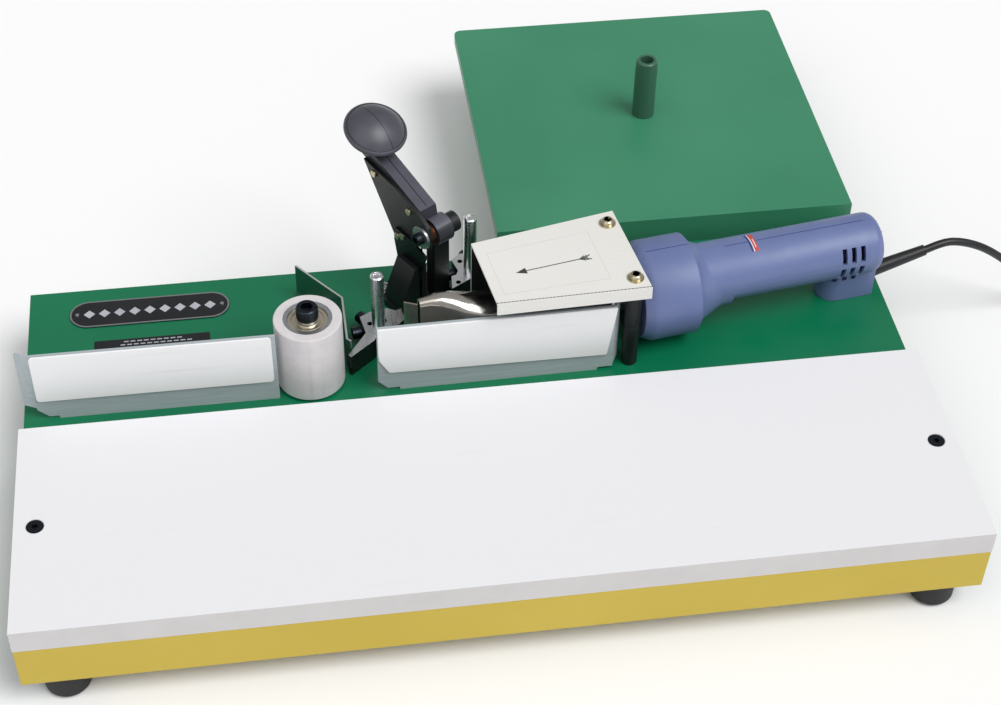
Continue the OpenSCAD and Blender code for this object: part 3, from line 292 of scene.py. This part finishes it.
grained("foot_rubber", "#17181A", "#222326", 0.62, 1.2, 0.3, IOR=1.5)
grained("cord_rubber", "#16171A", "#1F2024", 0.42, 1.5, 0.12, IOR=1.5)
grained("abs_housing", "#6A78A5", "#6472A0", 0.42, 0.7, 0.22, IOR=1.54)
grained("black_paint", "#0C0D0F", "#121317", 0.42, 1.6, 0.15, IOR=1.5)
grained("lever_paint", "#2B2D34", "#34363E", 0.36, 1.4, 0.18, IOR=1.5)
grained("phenolic_knob", "#40414A", "#4A4C55", 0.38, 2.0, 0.08, IOR=1.6)
# A lighter grey for the lever's top faces: painted light, where light from above falls on the arm.
grained("worn_lever_paint", "#4B4C56", "#565762", 0.34, 1.4, 0.18, IOR=1.5)
grained("switch_plastic", "#131416", "#1A1B1E", 0.30, 1.0, 0.1, IOR=1.5)
grained("printed_film", "#151619", "#1B1C1F", 0.36, 2.0, 0.05, IOR=1.5)
grained("fan_plastic", "#3B3F45", "#33373C", 0.45, 1.2, 0.15, IOR=1.5)
grained("heater_ceramic", "#E4DCC8", "#D3C9B2", 0.80, 1.0, 0.3, IOR=1.5)
grained("red_ink", "#CF4F45", "#C4453D", 0.45, 2.0, 0.02, IOR=1.5)
grained("blue_ink", "#2B3A7E", "#26346F", 0.45, 2.0, 0.02, IOR=1.5)
grained("white_ink", "#E4E5EA", "#DADCE2", 0.45, 2.0, 0.02, IOR=1.5)
# A greyer white for the board's front and side faces: painted shade, as these faces get less light than the
# top.
grained("board_edging", "#CFCDCE", "#CAC8C9", 0.5, 1.5, 0.1, IOR=1.5)
grained("faint_ink", "#D3D2CE", "#CBCAC6", 0.45, 2.0, 0.02, IOR=1.5)
grained("dark_ink", "#3B3A3C", "#45444A", 0.45, 2.0, 0.02, IOR=1.5)
grained("pale_ink", "#B9BCC2", "#A9ACB4", 0.45, 2.0, 0.02, IOR=1.5)
print("finishes:", len(FINISHES))

# %% [markdown]
# ## Meshes made one by one
# Turned pieces, marks, seams and the cord are all built point by point in a work mesh. One helper turns its
# faces outwards and makes a piece of it. The other walks along a line of rings, and gives the faces of the
# closed bar that joins them.

# %% Helpers for meshes
def piece_from(work, name):
    bmesh.ops.recalc_face_normals(work, faces=work.faces)
    mesh = bpy.data.meshes.new(name)
    work.to_mesh(mesh)
    work.free()
    obj = bpy.data.objects.new(name, mesh)
    bpy.context.scene.collection.objects.link(obj)
    return obj

def bar_through(rings):
    count = len(rings[0])
    for a, b in zip(rings, rings[1:]):
        for k in range(count):
            n = (k + 1) % count
            yield a[k], a[n], b[n], b[k]
    yield rings[0]
    yield rings[-1][::-1]

# %% [markdown]
# ## Carrying a CAD piece over with softened edges
# A CAD node arrives as loose triangles with knife edges. A copy of its mesh is merged, its flat faces
# are joined, and a Bevel modifier rounds the edges by the small radius that folding, moulding
# or deburring leaves. Those thin rounded edges catch the light and make the part look made.

# %% Softened copies of CAD pieces
def give_finish(obj, finish):
    obj.data.materials.clear()
    obj.data.materials.append(FINISHES[finish])

def join_body(obj, node):
    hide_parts(node)
    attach(obj, BODY_OF[node])

def tidy_mesh(mesh, flat_angle=0.6):
    work = bmesh.new()
    work.from_mesh(mesh)
    bmesh.ops.remove_doubles(work, verts=work.verts, dist=2e-6)
    bmesh.ops.dissolve_degenerate(work, edges=work.edges, dist=1e-6)
    bmesh.ops.dissolve_limit(work, angle_limit=math.radians(flat_angle), verts=work.verts, edges=work.edges)
    work.to_mesh(mesh)
    work.free()

def smooth_faces(mesh, angle=32):
    mesh.shade_smooth()
    work = bmesh.new()
    work.from_mesh(mesh)
    for edge in work.edges:
        edge.smooth = not (len(edge.link_faces) == 2 and edge.calc_face_angle(0) > math.radians(angle))
    work.to_mesh(mesh)
    work.free()

def softened(node, finish, radius_mm=0.3, angle=32):
    mesh = frame["nodes"][node].data.copy()
    piece = bpy.data.objects.new(node + "_finished", mesh)
    bpy.context.scene.collection.objects.link(piece)
    tidy_mesh(mesh)
    smooth_faces(mesh, angle)
    give_finish(piece, finish)
    if radius_mm:
        edge = piece.modifiers.new("softened edges", "BEVEL")
        edge.width = radius_mm * MM
        edge.segments = 2
        edge.limit_method = "ANGLE"
        edge.angle_limit = math.radians(angle)
        edge.harden_normals = True
        edge.use_clamp_overlap = True
    join_body(piece, node)
    return piece

SOFTENED = {
    "base_pan": ("deck_enamel", 0.5), "front_fascia": ("fascia_enamel", 0.9),
    "reel_tray": ("tray_enamel", 0.6), "tray_spacers": ("tray_enamel", 0.3),
    "work_board": ("melamine", 0.5), "board_screws": ("black_oxide", 0.2),
    "tray_bolts": ("zinc_plate", 0.3), "foot_screws": ("zinc_plate", 0.15),
    "reel_spindle": ("spindle_enamel", 0.3), "spindle_screw": ("zinc_plate", 0.2),
    "roller_axle": ("black_oxide", 0.3), "roller_spacers": ("zinc_plate", 0.2),
    "roller_core": ("turned_aluminium", 0.2),
    "roller_guard": ("guard_enamel", 0.2), "outfeed_fence": ("galvanised_sheet", 0.25),
    "infeed_fence": ("galvanised_sheet", 0.25), "outfeed_pad": ("slippery_plastic", 0.35),
    "infeed_pad": ("slippery_plastic", 0.35), "deck_screws": ("zinc_plate", 0.15),
    "outfeed_block": ("milled_plate", 0.15), "infeed_block": ("milled_plate", 0.15),
    "tape_pins": ("bright_chrome", 0.2), "block_screws": ("black_oxide", 0.2),
    "cutter_bracket": ("black_paint", 0.4), "pivot_bolt": ("black_oxide", 0.3),
    "pivot_washer": ("zinc_plate", 0.2), "cutter_lever": ("lever_paint", 0.5),
    "lever_side_plate": ("black_paint", 0.25), "lever_screws": ("yellow_zinc", 0.2),
    "cutter_blade": ("black_oxide", 0.1), "pivot_bush": ("sintered_bronze", 0.1),
    "nozzle_clamp": ("black_paint", 0.2), "lower_posts": ("black_paint", 0.5),
    "upper_posts": ("black_paint", 0.5), "heat_shield": ("shield_enamel", 0.35),
    "shield_screws": ("yellow_zinc", 0.15), "gun_shell_near": ("abs_housing", 0.55),
    "gun_shell_far": ("abs_housing", 0.55), "heater_core": ("heater_ceramic", 0.2),
    "fan_motor": ("motor_can", 0.3), "blower_fan": ("fan_plastic", 0.1),
    "rocker_switch": ("switch_plastic", 0.3), "plug_pins": ("yellow_zinc", 0.4),
    "foot_front_left": ("foot_rubber", 0.4), "foot_front_right": ("foot_rubber", 0.4),
    "foot_rear_left": ("foot_rubber", 0.4), "foot_rear_right": ("foot_rubber", 0.4),
    "return_spring": ("copper_wire", 0.0), "roller_tyre": ("ground_rubber", 0.0),
    "hot_air_nozzle": ("tinted_stainless", 0.0),
    "name_plate": ("printed_film", 0.1), "spec_label": ("printed_film", 0.0),
    "cord_gland": ("cord_rubber", 0.3), "plug_body": ("cord_rubber", 0.8),
    "cord_tie": ("foot_rubber", 0.3),
}
made = {node: softened(node, finish, radius) for node, (finish, radius) in SOFTENED.items()}
print("softened pieces:", len(made))

# %% [markdown]
# ## Second finishes on one piece
# Some pieces are not one colour all over. The inside and underside of the shield are painted near-black as
# painted shade, the guard's sheared top edge is painted bright metal as a painted highlight, the lever's top
# faces are painted lighter as painted light from above, the oval plate has bright rivets, and the board's
# front and side faces are painted greyer than its top as painted shade. The direction and place of each flat
# face says which finish it gets.

# %% Faces that get a second finish
DECK_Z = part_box("base_pan")[1][2]
FENCE_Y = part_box("work_board")[1][1]
GUN_AT, GUN_TURN = Vector((0.1494, FENCE_Y + 0.0705, DECK_Z)), math.radians(8.5)
ALONG = Vector((math.cos(GUN_TURN), math.sin(GUN_TURN), 0))
ACROSS = Vector((-math.sin(GUN_TURN), math.cos(GUN_TURN), 0))

def on_gun(u, v, z):
    return GUN_AT + (ALONG * u + ACROSS * v + Vector((0, 0, z))) * MM

def second_finish(node, finish, wanted):
    mesh = made[node].data
    mesh.materials.append(FINISHES[finish])
    faces = [face for face in mesh.polygons if wanted(face.center, face.normal)]
    for face in faces:
        face.material_index = len(mesh.materials) - 1
    print(node, "has", len(faces), "faces in", finish)

FAR_WALL, NEAR_WALL = 30, -25

# Faces under the shield or inside its walls, which get the painted shade.
def faces_in_shield_shade(centre, normal):
    across = (centre - GUN_AT).dot(ACROSS) / MM
    facing = normal.dot(ACROSS)
    return normal.z < -0.5 or (across > FAR_WALL and facing < -0.7) or (across < NEAR_WALL and facing > 0.7)

guard_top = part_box("roller_guard")[1][2]
plate_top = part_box("name_plate")[0][2] + 0.9 * MM  # only the rivets' heads stand above this
# The shield's inner and downward faces get the near-black painted shade.
second_finish("heat_shield", "shield_lining", faces_in_shield_shade)
# The guard's upward faces get the bright metal, partly a sheared edge and partly a painted highlight.
second_finish("roller_guard", "cut_edge", lambda c, n: n.z > 0.7 and c.z > guard_top - 0.1 * MM)
# The lever's upward faces get the lighter grey as painted light.
second_finish("cutter_lever", "worn_lever_paint", lambda c, n: n.z > 0.75)
second_finish("name_plate", "zinc_plate", lambda c, n: c.z > plate_top)
# The board's front and side faces get the grey painted shade.
second_finish("work_board", "board_edging", lambda c, n: n.y < -0.7 or abs(n.x) > 0.7)

# %% [markdown]
# ## Turned pieces
# The palm knob and the ball bearings are round, so each is half a profile that is spun about its axis. The
# knob has a rolled rim with a groove under its dome. A bearing shows two races with a dished seal between.

# %% Spin the knob and the bearings
def spun(name, profile, places, finish, closed=False, sides=96, turn=Matrix.Identity(3)):
    work = bmesh.new()
    for place in places:
        rings = []
        for r, z in profile:
            count = sides if r else 1
            rings.append([work.verts.new(place + turn @ Vector((r * math.cos(t), r * math.sin(t), z)) * MM)
                          for t in (2 * math.pi * k / count for k in range(count))])
        for a, b in zip(rings, rings[1:] + (rings[:1] if closed else [])):
            for k in range(sides):
                corners = (a[k % len(a)], a[(k + 1) % len(a)], b[(k + 1) % len(b)], b[k % len(b)])
                if len(set(corners)) > 2:
                    work.faces.new(list(dict.fromkeys(corners)))
    obj = piece_from(work, name)
    smooth_faces(obj.data)
    give_finish(obj, finish)
    return obj

def middle_of(node):
    low, high = (Vector(corner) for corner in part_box(node))
    return Vector(((low.x + high.x) / 2, (low.y + high.y) / 2, low.z))

PIVOT = Vector((-0.031, FENCE_Y + 0.1063, DECK_Z + 0.075))
ARM_TURN = Matrix.Rotation(math.radians(32.3), 3, "Z")
KNOB_TURN = ARM_TURN @ Matrix.Rotation(math.radians(20), 3, "X")

def on_arm(x, y, z):
    return PIVOT + ARM_TURN @ Vector((x, y, z)) * MM

ARM_MIDDLE = 13
knob_seat = on_arm(ARM_MIDDLE, 70.8, 48.7)
KNOB_H, DOME_RISE, DOME_FOOT = 18, 10, 22.3
DOME_R = (DOME_FOOT ** 2 + DOME_RISE ** 2) / (2 * DOME_RISE)
dome = [(r, KNOB_H - DOME_R + math.sqrt(DOME_R ** 2 - r * r))
        for r in (22, 21, 19.5, 17.5, 15, 12, 9, 6, 3, 1.2, 0)]
knob_profile = [(0, 0), (8.7, 0), (9, 0.3), (9, 3.0), (20.6, 3.0), (22.4, 3.35), (23.6, 4.2), (24.2, 5.4),
                (24.3, 6.2), (24.0, 7.3), (23.2, 8.1), (22.7, 8.2), (22.2, 7.7), (22.1, 7.9)] + dome
knob = spun("palm_knob", knob_profile, [knob_seat], "phenolic_knob", turn=KNOB_TURN)
join_body(knob, "cutter_knob")

BEARING_H = 9
race_face = [(5.05, 0.3), (5.35, 0), (7.8, 0), (8.0, 0.2), (8.0, 0.8), (9.0, 0.8), (9.2, 0.55), (11.0, 0.55),
             (11.2, 0.8), (12.2, 0.8), (12.2, 0.2), (12.4, 0), (14.7, 0), (15.0, 0.3)]
bearing_profile = race_face + [(r, BEARING_H - z) for r, z in reversed(race_face)]
low_bearing = middle_of("roller_bearings")
bearing_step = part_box("roller_bearings")[1][2] - low_bearing.z - BEARING_H * MM
high_bearing = low_bearing + Vector((0, 0, bearing_step))
join_body(spun("ball_bearings", bearing_profile, [low_bearing, high_bearing], "bearing_steel", True),
          "roller_bearings")
print("knob and bearings spun")

# %% [markdown]
# ## Marks and badges
# The real machine carries lettering. This one has plain shapes in the same places: an arrow on the shield,
# a thin frame round where a label sits, a bright rim on the plate, and three stripes on the gun. Each is a
# very thin solid that stands a fraction of a millimetre proud.

# %% Thin solids for marks
def thin_solid(name, outlines, lift_mm, finish, body):
    work = bmesh.new()
    for outline in outlines:
        low = [work.verts.new(point) for point in outline]
        high = [work.verts.new(point + Vector((0, 0, lift_mm * MM))) for point in outline]
        work.faces.new(low[::-1])
        work.faces.new(high)
        for k in range(len(low)):
            n = (k + 1) % len(low)
            work.faces.new((low[k], low[n], high[n], high[k]))
    obj = piece_from(work, name)
    give_finish(obj, finish)
    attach(obj, body)

def strip(start, end, width_mm):
    ahead = (end - start).normalized()
    aside = Vector((-ahead.y, ahead.x, 0)) * width_mm * MM / 2
    return [start - aside, end - aside, end + aside, start + aside]

SHIELD_TOP = 83.0
head, tail = on_gun(-118.4, -3.0, SHIELD_TOP), on_gun(-64.9, -0.8, SHIELD_TOP)
back = (tail - head).normalized()
aside = Vector((-back.y, back.x, 0))
arrow = [[head, head + (back * 8 - aside * 3.2) * MM, head + (back * 8 + aside * 3.2) * MM],
         strip(head + back * 7.9 * MM, tail, 0.8)]
arrow += [strip(tail + (back * k + aside * reach) * MM, tail - back * (4 - k) * MM, 0.9)
          for k in (0, 2.2, 4.4) for reach in (-2.6, 2.6)]
thin_solid("shield_arrow", arrow, 0.1, "dark_ink", "table")
frame_spots = [on_gun(u, v, SHIELD_TOP) for u, v in ((-133, -23), (-54, -27), (-54, 27), (-133, 23))]
frame_sides = [strip(a, b, 0.35) for a, b in zip(frame_spots, frame_spots[1:] + frame_spots[:1])]
thin_solid("shield_label_frame", frame_sides, 0.05, "faint_ink", "table")

plate_low, plate_high = (Vector(corner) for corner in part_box("name_plate"))
plate_mid = (plate_low + plate_high) / 2

rim_mid = Vector((plate_mid.x, plate_mid.y, plate_low.z + 0.8 * MM))

def stadium(half_length, radius, count=24):
    line = []
    for end in (1, -1):
        for k in range(count + 1):
            t = math.pi * k / count - math.pi / 2
            x, y = half_length - radius + radius * math.cos(t), radius * math.sin(t)
            line.append(rim_mid + Vector((end * x, end * y, 0)) * MM)
    return line

outer, inner = stadium(60.8, 14.3), stadium(59.6, 13.1)
next_outer, next_inner = outer[1:] + outer[:1], inner[1:] + inner[:1]
rim = [list(corners) for corners in zip(outer, next_outer, next_inner, inner)]
thin_solid("name_plate_rim", rim, 0.25, "zinc_plate", "table")

# %% Stripes round the gun's barrel
BARREL_R, BARREL_Z = 23.5, 44.3

def barrel_band(name, u0, u1, a0, a1, finish, radius=BARREL_R, steps=14):
    work = bmesh.new()
    under, over = radius - 0.05, radius + 0.1
    rings = []
    for k in range(steps + 1):
        t = math.radians(a0 + (a1 - a0) * k / steps)
        rings.append([work.verts.new(on_gun(u, r * math.cos(t), BARREL_Z + r * math.sin(t)))
                      for u, r in ((u0, under), (u1, under), (u1, over), (u0, over))])
    for corners in bar_through(rings):
        work.faces.new(corners)
    obj = piece_from(work, name)
    give_finish(obj, finish)
    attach(obj, "table")

STRIPES = (("blue_stripe", 65.4, 67.0, "blue_ink"), ("white_stripe", 67.0, 67.8, "white_ink"),
           ("red_stripe", 67.8, 71.2, "red_ink"))
for name, u0, u1, finish in STRIPES:
    barrel_band(name, u0, u1, 66, 114, finish)
barrel_band("red_stripe_slot", 69.2, 69.9, 84, 106, "white_ink", 23.56)
print("marks made")

# %% [markdown]
# ## Seams
# The knob and the arm are mouldings in two halves, and the halves of the gun meet along its back. Each seam
# is a hair-thin dark ridge that follows the surface, made as a bar of four sides carried along a line.

# %% Seams of the mouldings
def ribbon(name, line, out, width_mm, lift_mm, finish, body):
    work = bmesh.new()
    rings = []
    for k, point in enumerate(line):
        ahead = (line[min(k + 1, len(line) - 1)] - line[max(k - 1, 0)]).normalized()
        side = ahead.cross(out).normalized() * width_mm * MM / 2
        rings.append([work.verts.new(point + side * a + out * lift_mm * b * MM)
                      for a, b in ((-1, -1), (1, -1), (1, 1), (-1, 1))])
    for corners in bar_through(rings):
        work.faces.new(corners)
    obj = piece_from(work, name)
    give_finish(obj, finish)
    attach(obj, body)

UP = Vector((0, 0, 1))
over_dome = [(-r, z) for r, z in dome[:-1]] + [(r, z) for r, z in reversed(dome)]
ribbon("knob_seam", [knob_seat + KNOB_TURN @ Vector((0, y, z - 0.1)) * MM for y, z in over_dome],
       KNOB_TURN @ UP, 0.5, 0.14, "switch_plastic", "cutter")
arm_top = [on_arm(ARM_MIDDLE, y, z + 0.02) for y, z in ((8.5, 19.2), (30, 27.05), (56, 36.5), (66, 38.6))]
ribbon("arm_seam", arm_top, UP, 0.6, 0.1, "switch_plastic", "cutter")

BACK_Z, COLLAR_Z = BARREL_Z + BARREL_R + 0.02, 77.12
gun_seams = [[on_gun(u, 0, z) for u in places] for z, places in (
    (BACK_Z, (46, 60, 64.8)), (BACK_Z, (71.8, 100, 130, 160)), (COLLAR_Z, (-17.2, 0, 16.8)))]
for number, line in enumerate(gun_seams):
    ribbon("gun_seam_%d" % number, line, UP, 0.5, 0.08, "blue_ink", "table")
print("seams:", 2 + len(gun_seams))

# %% [markdown]
# ## Things that repeat
# A knurl, a row of lozenges, the bars of a label or the dashes along a fold is one small box many times over.
# Two small node trees do it: one sets a box on each point of a ring, the other on each point of a straight
# row. Their inputs are named, and the script fills them in for each use, takes the mesh that comes out, and
# drops the modifier.

# %% Node trees for rings and rows
def new_tree(name, inputs):
    tree = bpy.data.node_groups.new(name, "GeometryNodeTree")
    for label, kind in inputs:
        tree.interface.new_socket(name=label, in_out="INPUT", socket_type="NodeSocket" + kind)
    tree.interface.new_socket(name="Mesh", in_out="OUTPUT", socket_type="NodeSocketGeometry")
    return tree, tree.nodes.new("NodeGroupInput").outputs

def end_tree(tree, given, points, turn):
    box = add_node(tree, "GeometryNodeMeshCube", None, {"Size": given["Box size"]}).outputs["Mesh"]
    spread = add_node(tree, "GeometryNodeInstanceOnPoints", None,
                      {"Points": points, "Instance": box, "Rotation": turn}).outputs["Instances"]
    real = add_node(tree, "GeometryNodeRealizeInstances", None, {"Geometry": spread}).outputs["Geometry"]
    placed = add_node(tree, "GeometryNodeTransform", None,
                      {"Geometry": real, "Translation": given["Place"]}).outputs["Geometry"]
    painted = add_node(tree, "GeometryNodeSetMaterial", None,
                       {"Geometry": placed, "Material": given["Finish"]}).outputs["Geometry"]
    tree.links.new(painted, tree.nodes.new("NodeGroupOutput").inputs["Mesh"])

ring_tree, given = new_tree("ring of boxes", (("Count", "Int"), ("Radius", "Float"), ("Box size", "Vector"),
                                              ("Place", "Vector"), ("Finish", "Material")))
points = add_node(ring_tree, "GeometryNodeMeshCircle", None,
                  {"Vertices": given["Count"], "Radius": given["Radius"]})
share = add_node(ring_tree, "ShaderNodeMath", {0: 2 * math.pi}, {1: given["Count"]}, operation="DIVIDE")
number = add_node(ring_tree, "GeometryNodeInputIndex").outputs[0]
angle = add_node(ring_tree, "ShaderNodeMath", None, {0: number, 1: share.outputs[0]}, operation="MULTIPLY")
turn = add_node(ring_tree, "ShaderNodeCombineXYZ", None, {"Z": angle.outputs[0]}).outputs[0]
end_tree(ring_tree, given, points.outputs["Mesh"], turn)

row_tree, given = new_tree("row of boxes", (("Count", "Int"), ("Step", "Vector"), ("Turn", "Float"),
                                            ("Box size", "Vector"), ("Place", "Vector"),
                                            ("Finish", "Material")))
points = add_node(row_tree, "GeometryNodeMeshLine", None, {"Count": given["Count"], "Offset": given["Step"]})
turn = add_node(row_tree, "ShaderNodeCombineXYZ", None, {"Z": given["Turn"]}).outputs[0]
end_tree(row_tree, given, points.outputs["Mesh"], turn)

# %% Grow the repeated details
def grow(name, tree, body, finish, **values):
    obj = bpy.data.objects.new(name, bpy.data.meshes.new(name + "_seed"))
    bpy.context.scene.collection.objects.link(obj)
    grower = obj.modifiers.new("grower", "NODES")
    grower.node_group = tree
    values["Finish"] = FINISHES[finish]
    for item in tree.interface.items_tree:
        key = item.name.replace(" ", "_")
        if item.in_out == "INPUT" and key in values:
            grower[item.identifier] = values[key]
    obj.update_tag()
    bpy.context.view_layer.update()
    grown = bpy.data.meshes.new_from_object(obj.evaluated_get(bpy.context.evaluated_depsgraph_get()))
    obj.modifiers.clear()
    obj.data = grown
    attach(obj, body)
    print(name, "has", len(grown.polygons), "faces")

def in_mm(*numbers):
    return tuple(n * MM for n in numbers)

axle_mid = middle_of("roller_axle")
HEAD_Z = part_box("roller_axle")[1][2]
grow("axle_knurl", ring_tree, "table", "black_oxide", Count=72, Radius=7.98 * MM,
     Box_size=in_mm(0.36, 0.36, 7.0), Place=(axle_mid.x, axle_mid.y, HEAD_Z - 5.2 * MM))
grow("plate_lozenges", row_tree, "table", "pale_ink", Count=9, Step=in_mm(11.5, 0, 0), Turn=math.pi / 4,
     Box_size=in_mm(6.2, 6.2, 0.2), Place=(plate_mid.x - 46 * MM, plate_mid.y, plate_low.z + 0.85 * MM))
label_low, label_high = (Vector(corner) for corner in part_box("spec_label"))
label_mid_y = (label_low.y + label_high.y) / 2
for row, (across, count) in enumerate(((12.0, 9), (8.6, 11))):
    grow("label_bars_%d" % row, row_tree, "table", "pale_ink", Count=count, Step=in_mm(5.0, 0, 0), Turn=0.0,
         Box_size=in_mm(3.6, 1.1, 0.1),
         Place=(label_low.x + (24 - 2.5 * row) * MM, label_mid_y + across * MM, label_high.z + 0.03 * MM))

FOLD_Z = SHIELD_TOP + 0.02
fold_start, fold_end = on_gun(-140.4, -30.6, FOLD_Z), on_gun(-28.6, -43.4, FOLD_Z)
FOLDS = 42
fold_step = (fold_end - fold_start) / (FOLDS - 1)
grow("shield_fold", row_tree, "table", "dark_ink", Count=FOLDS, Step=tuple(fold_step),
     Turn=math.atan2(fold_step.y, fold_step.x), Box_size=in_mm(2.2, 0.7, 0.12), Place=tuple(fold_start))

plug_low, plug_high = (Vector(corner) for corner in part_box("plug_body"))
plug_mid_x = (plug_low.x + plug_high.x) / 2
grow("plug_grip", row_tree, "table", "cord_rubber", Count=5, Step=in_mm(0, 3.4, 0), Turn=0.0,
     Box_size=in_mm(24, 1.4, 0.8), Place=(plug_mid_x, plug_high.y - 17 * MM, plug_high.z - 0.2 * MM))

# %% [markdown]
# ## Power cord
# A mains lead has a fixed length, so it is made from its route. The stretch that hangs from the gun
# falls to the bench in one curve. The rest is wound into a round coil of four layers, spiralling in on one
# layer and out on the next, as a lead is wound by hand. A tube is skinned round that path with
# frames that turn as little as they can, so it doesn't twist.

# %% Route of the cord
CORD_D = 6.4 * MM
COIL_AT = (0.556, 0.038)
COIL_R, COIL_SPAN, COIL_RISE = 34 * MM, 12.5 * MM, 6.5 * MM
OUTER = COIL_R + COIL_SPAN / 2
gland_end = Vector((0.3669, -0.0316, 0.08387))
route = [gland_end] + [Vector(p) * MM for p in (
    (388, -28, 87), (412, -26, 79), (436, -24, 62), (456, -22, 41), (474, -19, 22), (492, -15, 9),
    (510, -10, 3.6), (532, -3, 3.2))] + [Vector((COIL_AT[0], COIL_AT[1] - OUTER, CORD_D / 2))]

def smooth_through(points, steps):
    line = []
    for i in range(len(points) - 1):
        a, b = points[max(i - 1, 0)], points[i]
        c, d = points[i + 1], points[min(i + 2, len(points) - 1)]
        for k in range(steps):
            t = k / steps
            line.append(0.5 * (2 * b + (c - a) * t + (2 * a - 5 * b + 4 * c - d) * t ** 2
                               + (3 * b - a - 3 * c + d) * t ** 3))
    return line + [points[-1]]

def ease(t):
    return t * t * (3 - 2 * t)

def coil_turns(layers=4, sweep=660, rise=110, step=6):
    points, start = [], -90.0
    for layer in range(layers):
        first, last = (OUTER, OUTER - COIL_SPAN) if layer % 2 == 0 else (OUTER - COIL_SPAN, OUTER)
        for angle in range(0, sweep, step):
            points.append((start + angle, first + (last - first) * angle / sweep, layer * COIL_RISE))
        start += sweep
        if layer < layers - 1:
            for angle in range(0, rise, step):
                points.append((start + angle, last, (layer + ease(angle / rise)) * COIL_RISE))
            start += rise
    points.append((start, OUTER, (layers - 1) * COIL_RISE))
    return [Vector((COIL_AT[0] + r * math.cos(math.radians(a)), COIL_AT[1] + r * math.sin(math.radians(a)),
                    CORD_D / 2 + z)) for a, r, z in points]

turns = coil_turns()
tail_run = [turns[-1]] + [Vector(p) * MM for p in (
    (596.4, 52, 22), (596.5, 68, 17.5), (596.5, 84, 11.5), (596.5, 98, 8.5))]
cord_line = smooth_through(route, 6)[:-1] + turns[:-1] + smooth_through(tail_run, 5)
cord_line = [Vector((p.x, p.y, max(p.z, CORD_D / 2))) for p in cord_line]

# %% Skin of the cord
def skin_tube(name, line, radius, sides=12):
    work = bmesh.new()
    ahead = (line[1] - line[0]).normalized()
    side = ahead.cross(Vector((0, 0, 1))).normalized()
    rings = []
    for i, point in enumerate(line):
        now = (line[min(i + 1, len(line) - 1)] - line[max(i - 1, 0)]).normalized()
        side = (side - now * side.dot(now)).normalized()
        up = now.cross(side)
        rings.append([work.verts.new(point + (side * math.cos(t) + up * math.sin(t)) * radius)
                      for t in (2 * math.pi * k / sides for k in range(sides))])
    for corners in bar_through(rings):
        work.faces.new(corners)
    obj = piece_from(work, name)
    smooth_faces(obj.data, 60)
    return obj

cord = skin_tube("mains_lead", cord_line, CORD_D / 2)
give_finish(cord, "cord_rubber")
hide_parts("power_cord", "cord_coil", "cord_tail")
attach(cord, "table")

# %% [markdown]
# ## Studio
# The machine stands on a plain white floor. A broad soft key comes from the front right and a weaker fill
# from the front left, both as wide suns, so the floor is lit evenly to its far edge. The sky is dim, so the
# enamel doesn't mirror a white veil.

# %% Floor, sky and lights
floor_mesh = bpy.data.meshes.new("studio_floor")
FLOOR_HALF = 6
floor_corners = [(x * FLOOR_HALF, y * FLOOR_HALF, 0) for x, y in ((-1, -1), (1, -1), (1, 1), (-1, 1))]
floor_mesh.from_pydata(floor_corners, [], [(0, 1, 2, 3)])
floor = bpy.data.objects.new("studio_floor", floor_mesh)
bpy.context.scene.collection.objects.link(floor)
tree, shader, place = new_finish("floor_paper", "#FAFAFA", 0.9)
bump(tree, shader, noise(tree, place, 3.0), 0.05, 0.1)
give_finish(floor, "floor_paper")

sky = bpy.data.worlds.new("studio_sky")
sky.use_nodes = True
sky.node_tree.nodes["Background"].inputs["Color"].default_value = (1.0, 1.0, 1.0, 1.0)
sky.node_tree.nodes["Background"].inputs["Strength"].default_value = 0.36
bpy.context.scene.world = sky

def wide_sun(name, source, strength, spread_deg):
    lamp = bpy.data.lights.new(name, "SUN")
    lamp.energy = strength
    lamp.angle = math.radians(spread_deg)
    obj = bpy.data.objects.new(name, lamp)
    obj.rotation_euler = (-Vector(source)).to_track_quat("-Z", "Y").to_euler()
    bpy.context.scene.collection.objects.link(obj)

wide_sun("key_light", (0.85, -0.75, 1.6), 2.0, 36)
wide_sun("fill_light", (-0.7, -0.8, 1.3), 0.6, 60)
bpy.context.scene.view_settings.view_transform = "Standard"
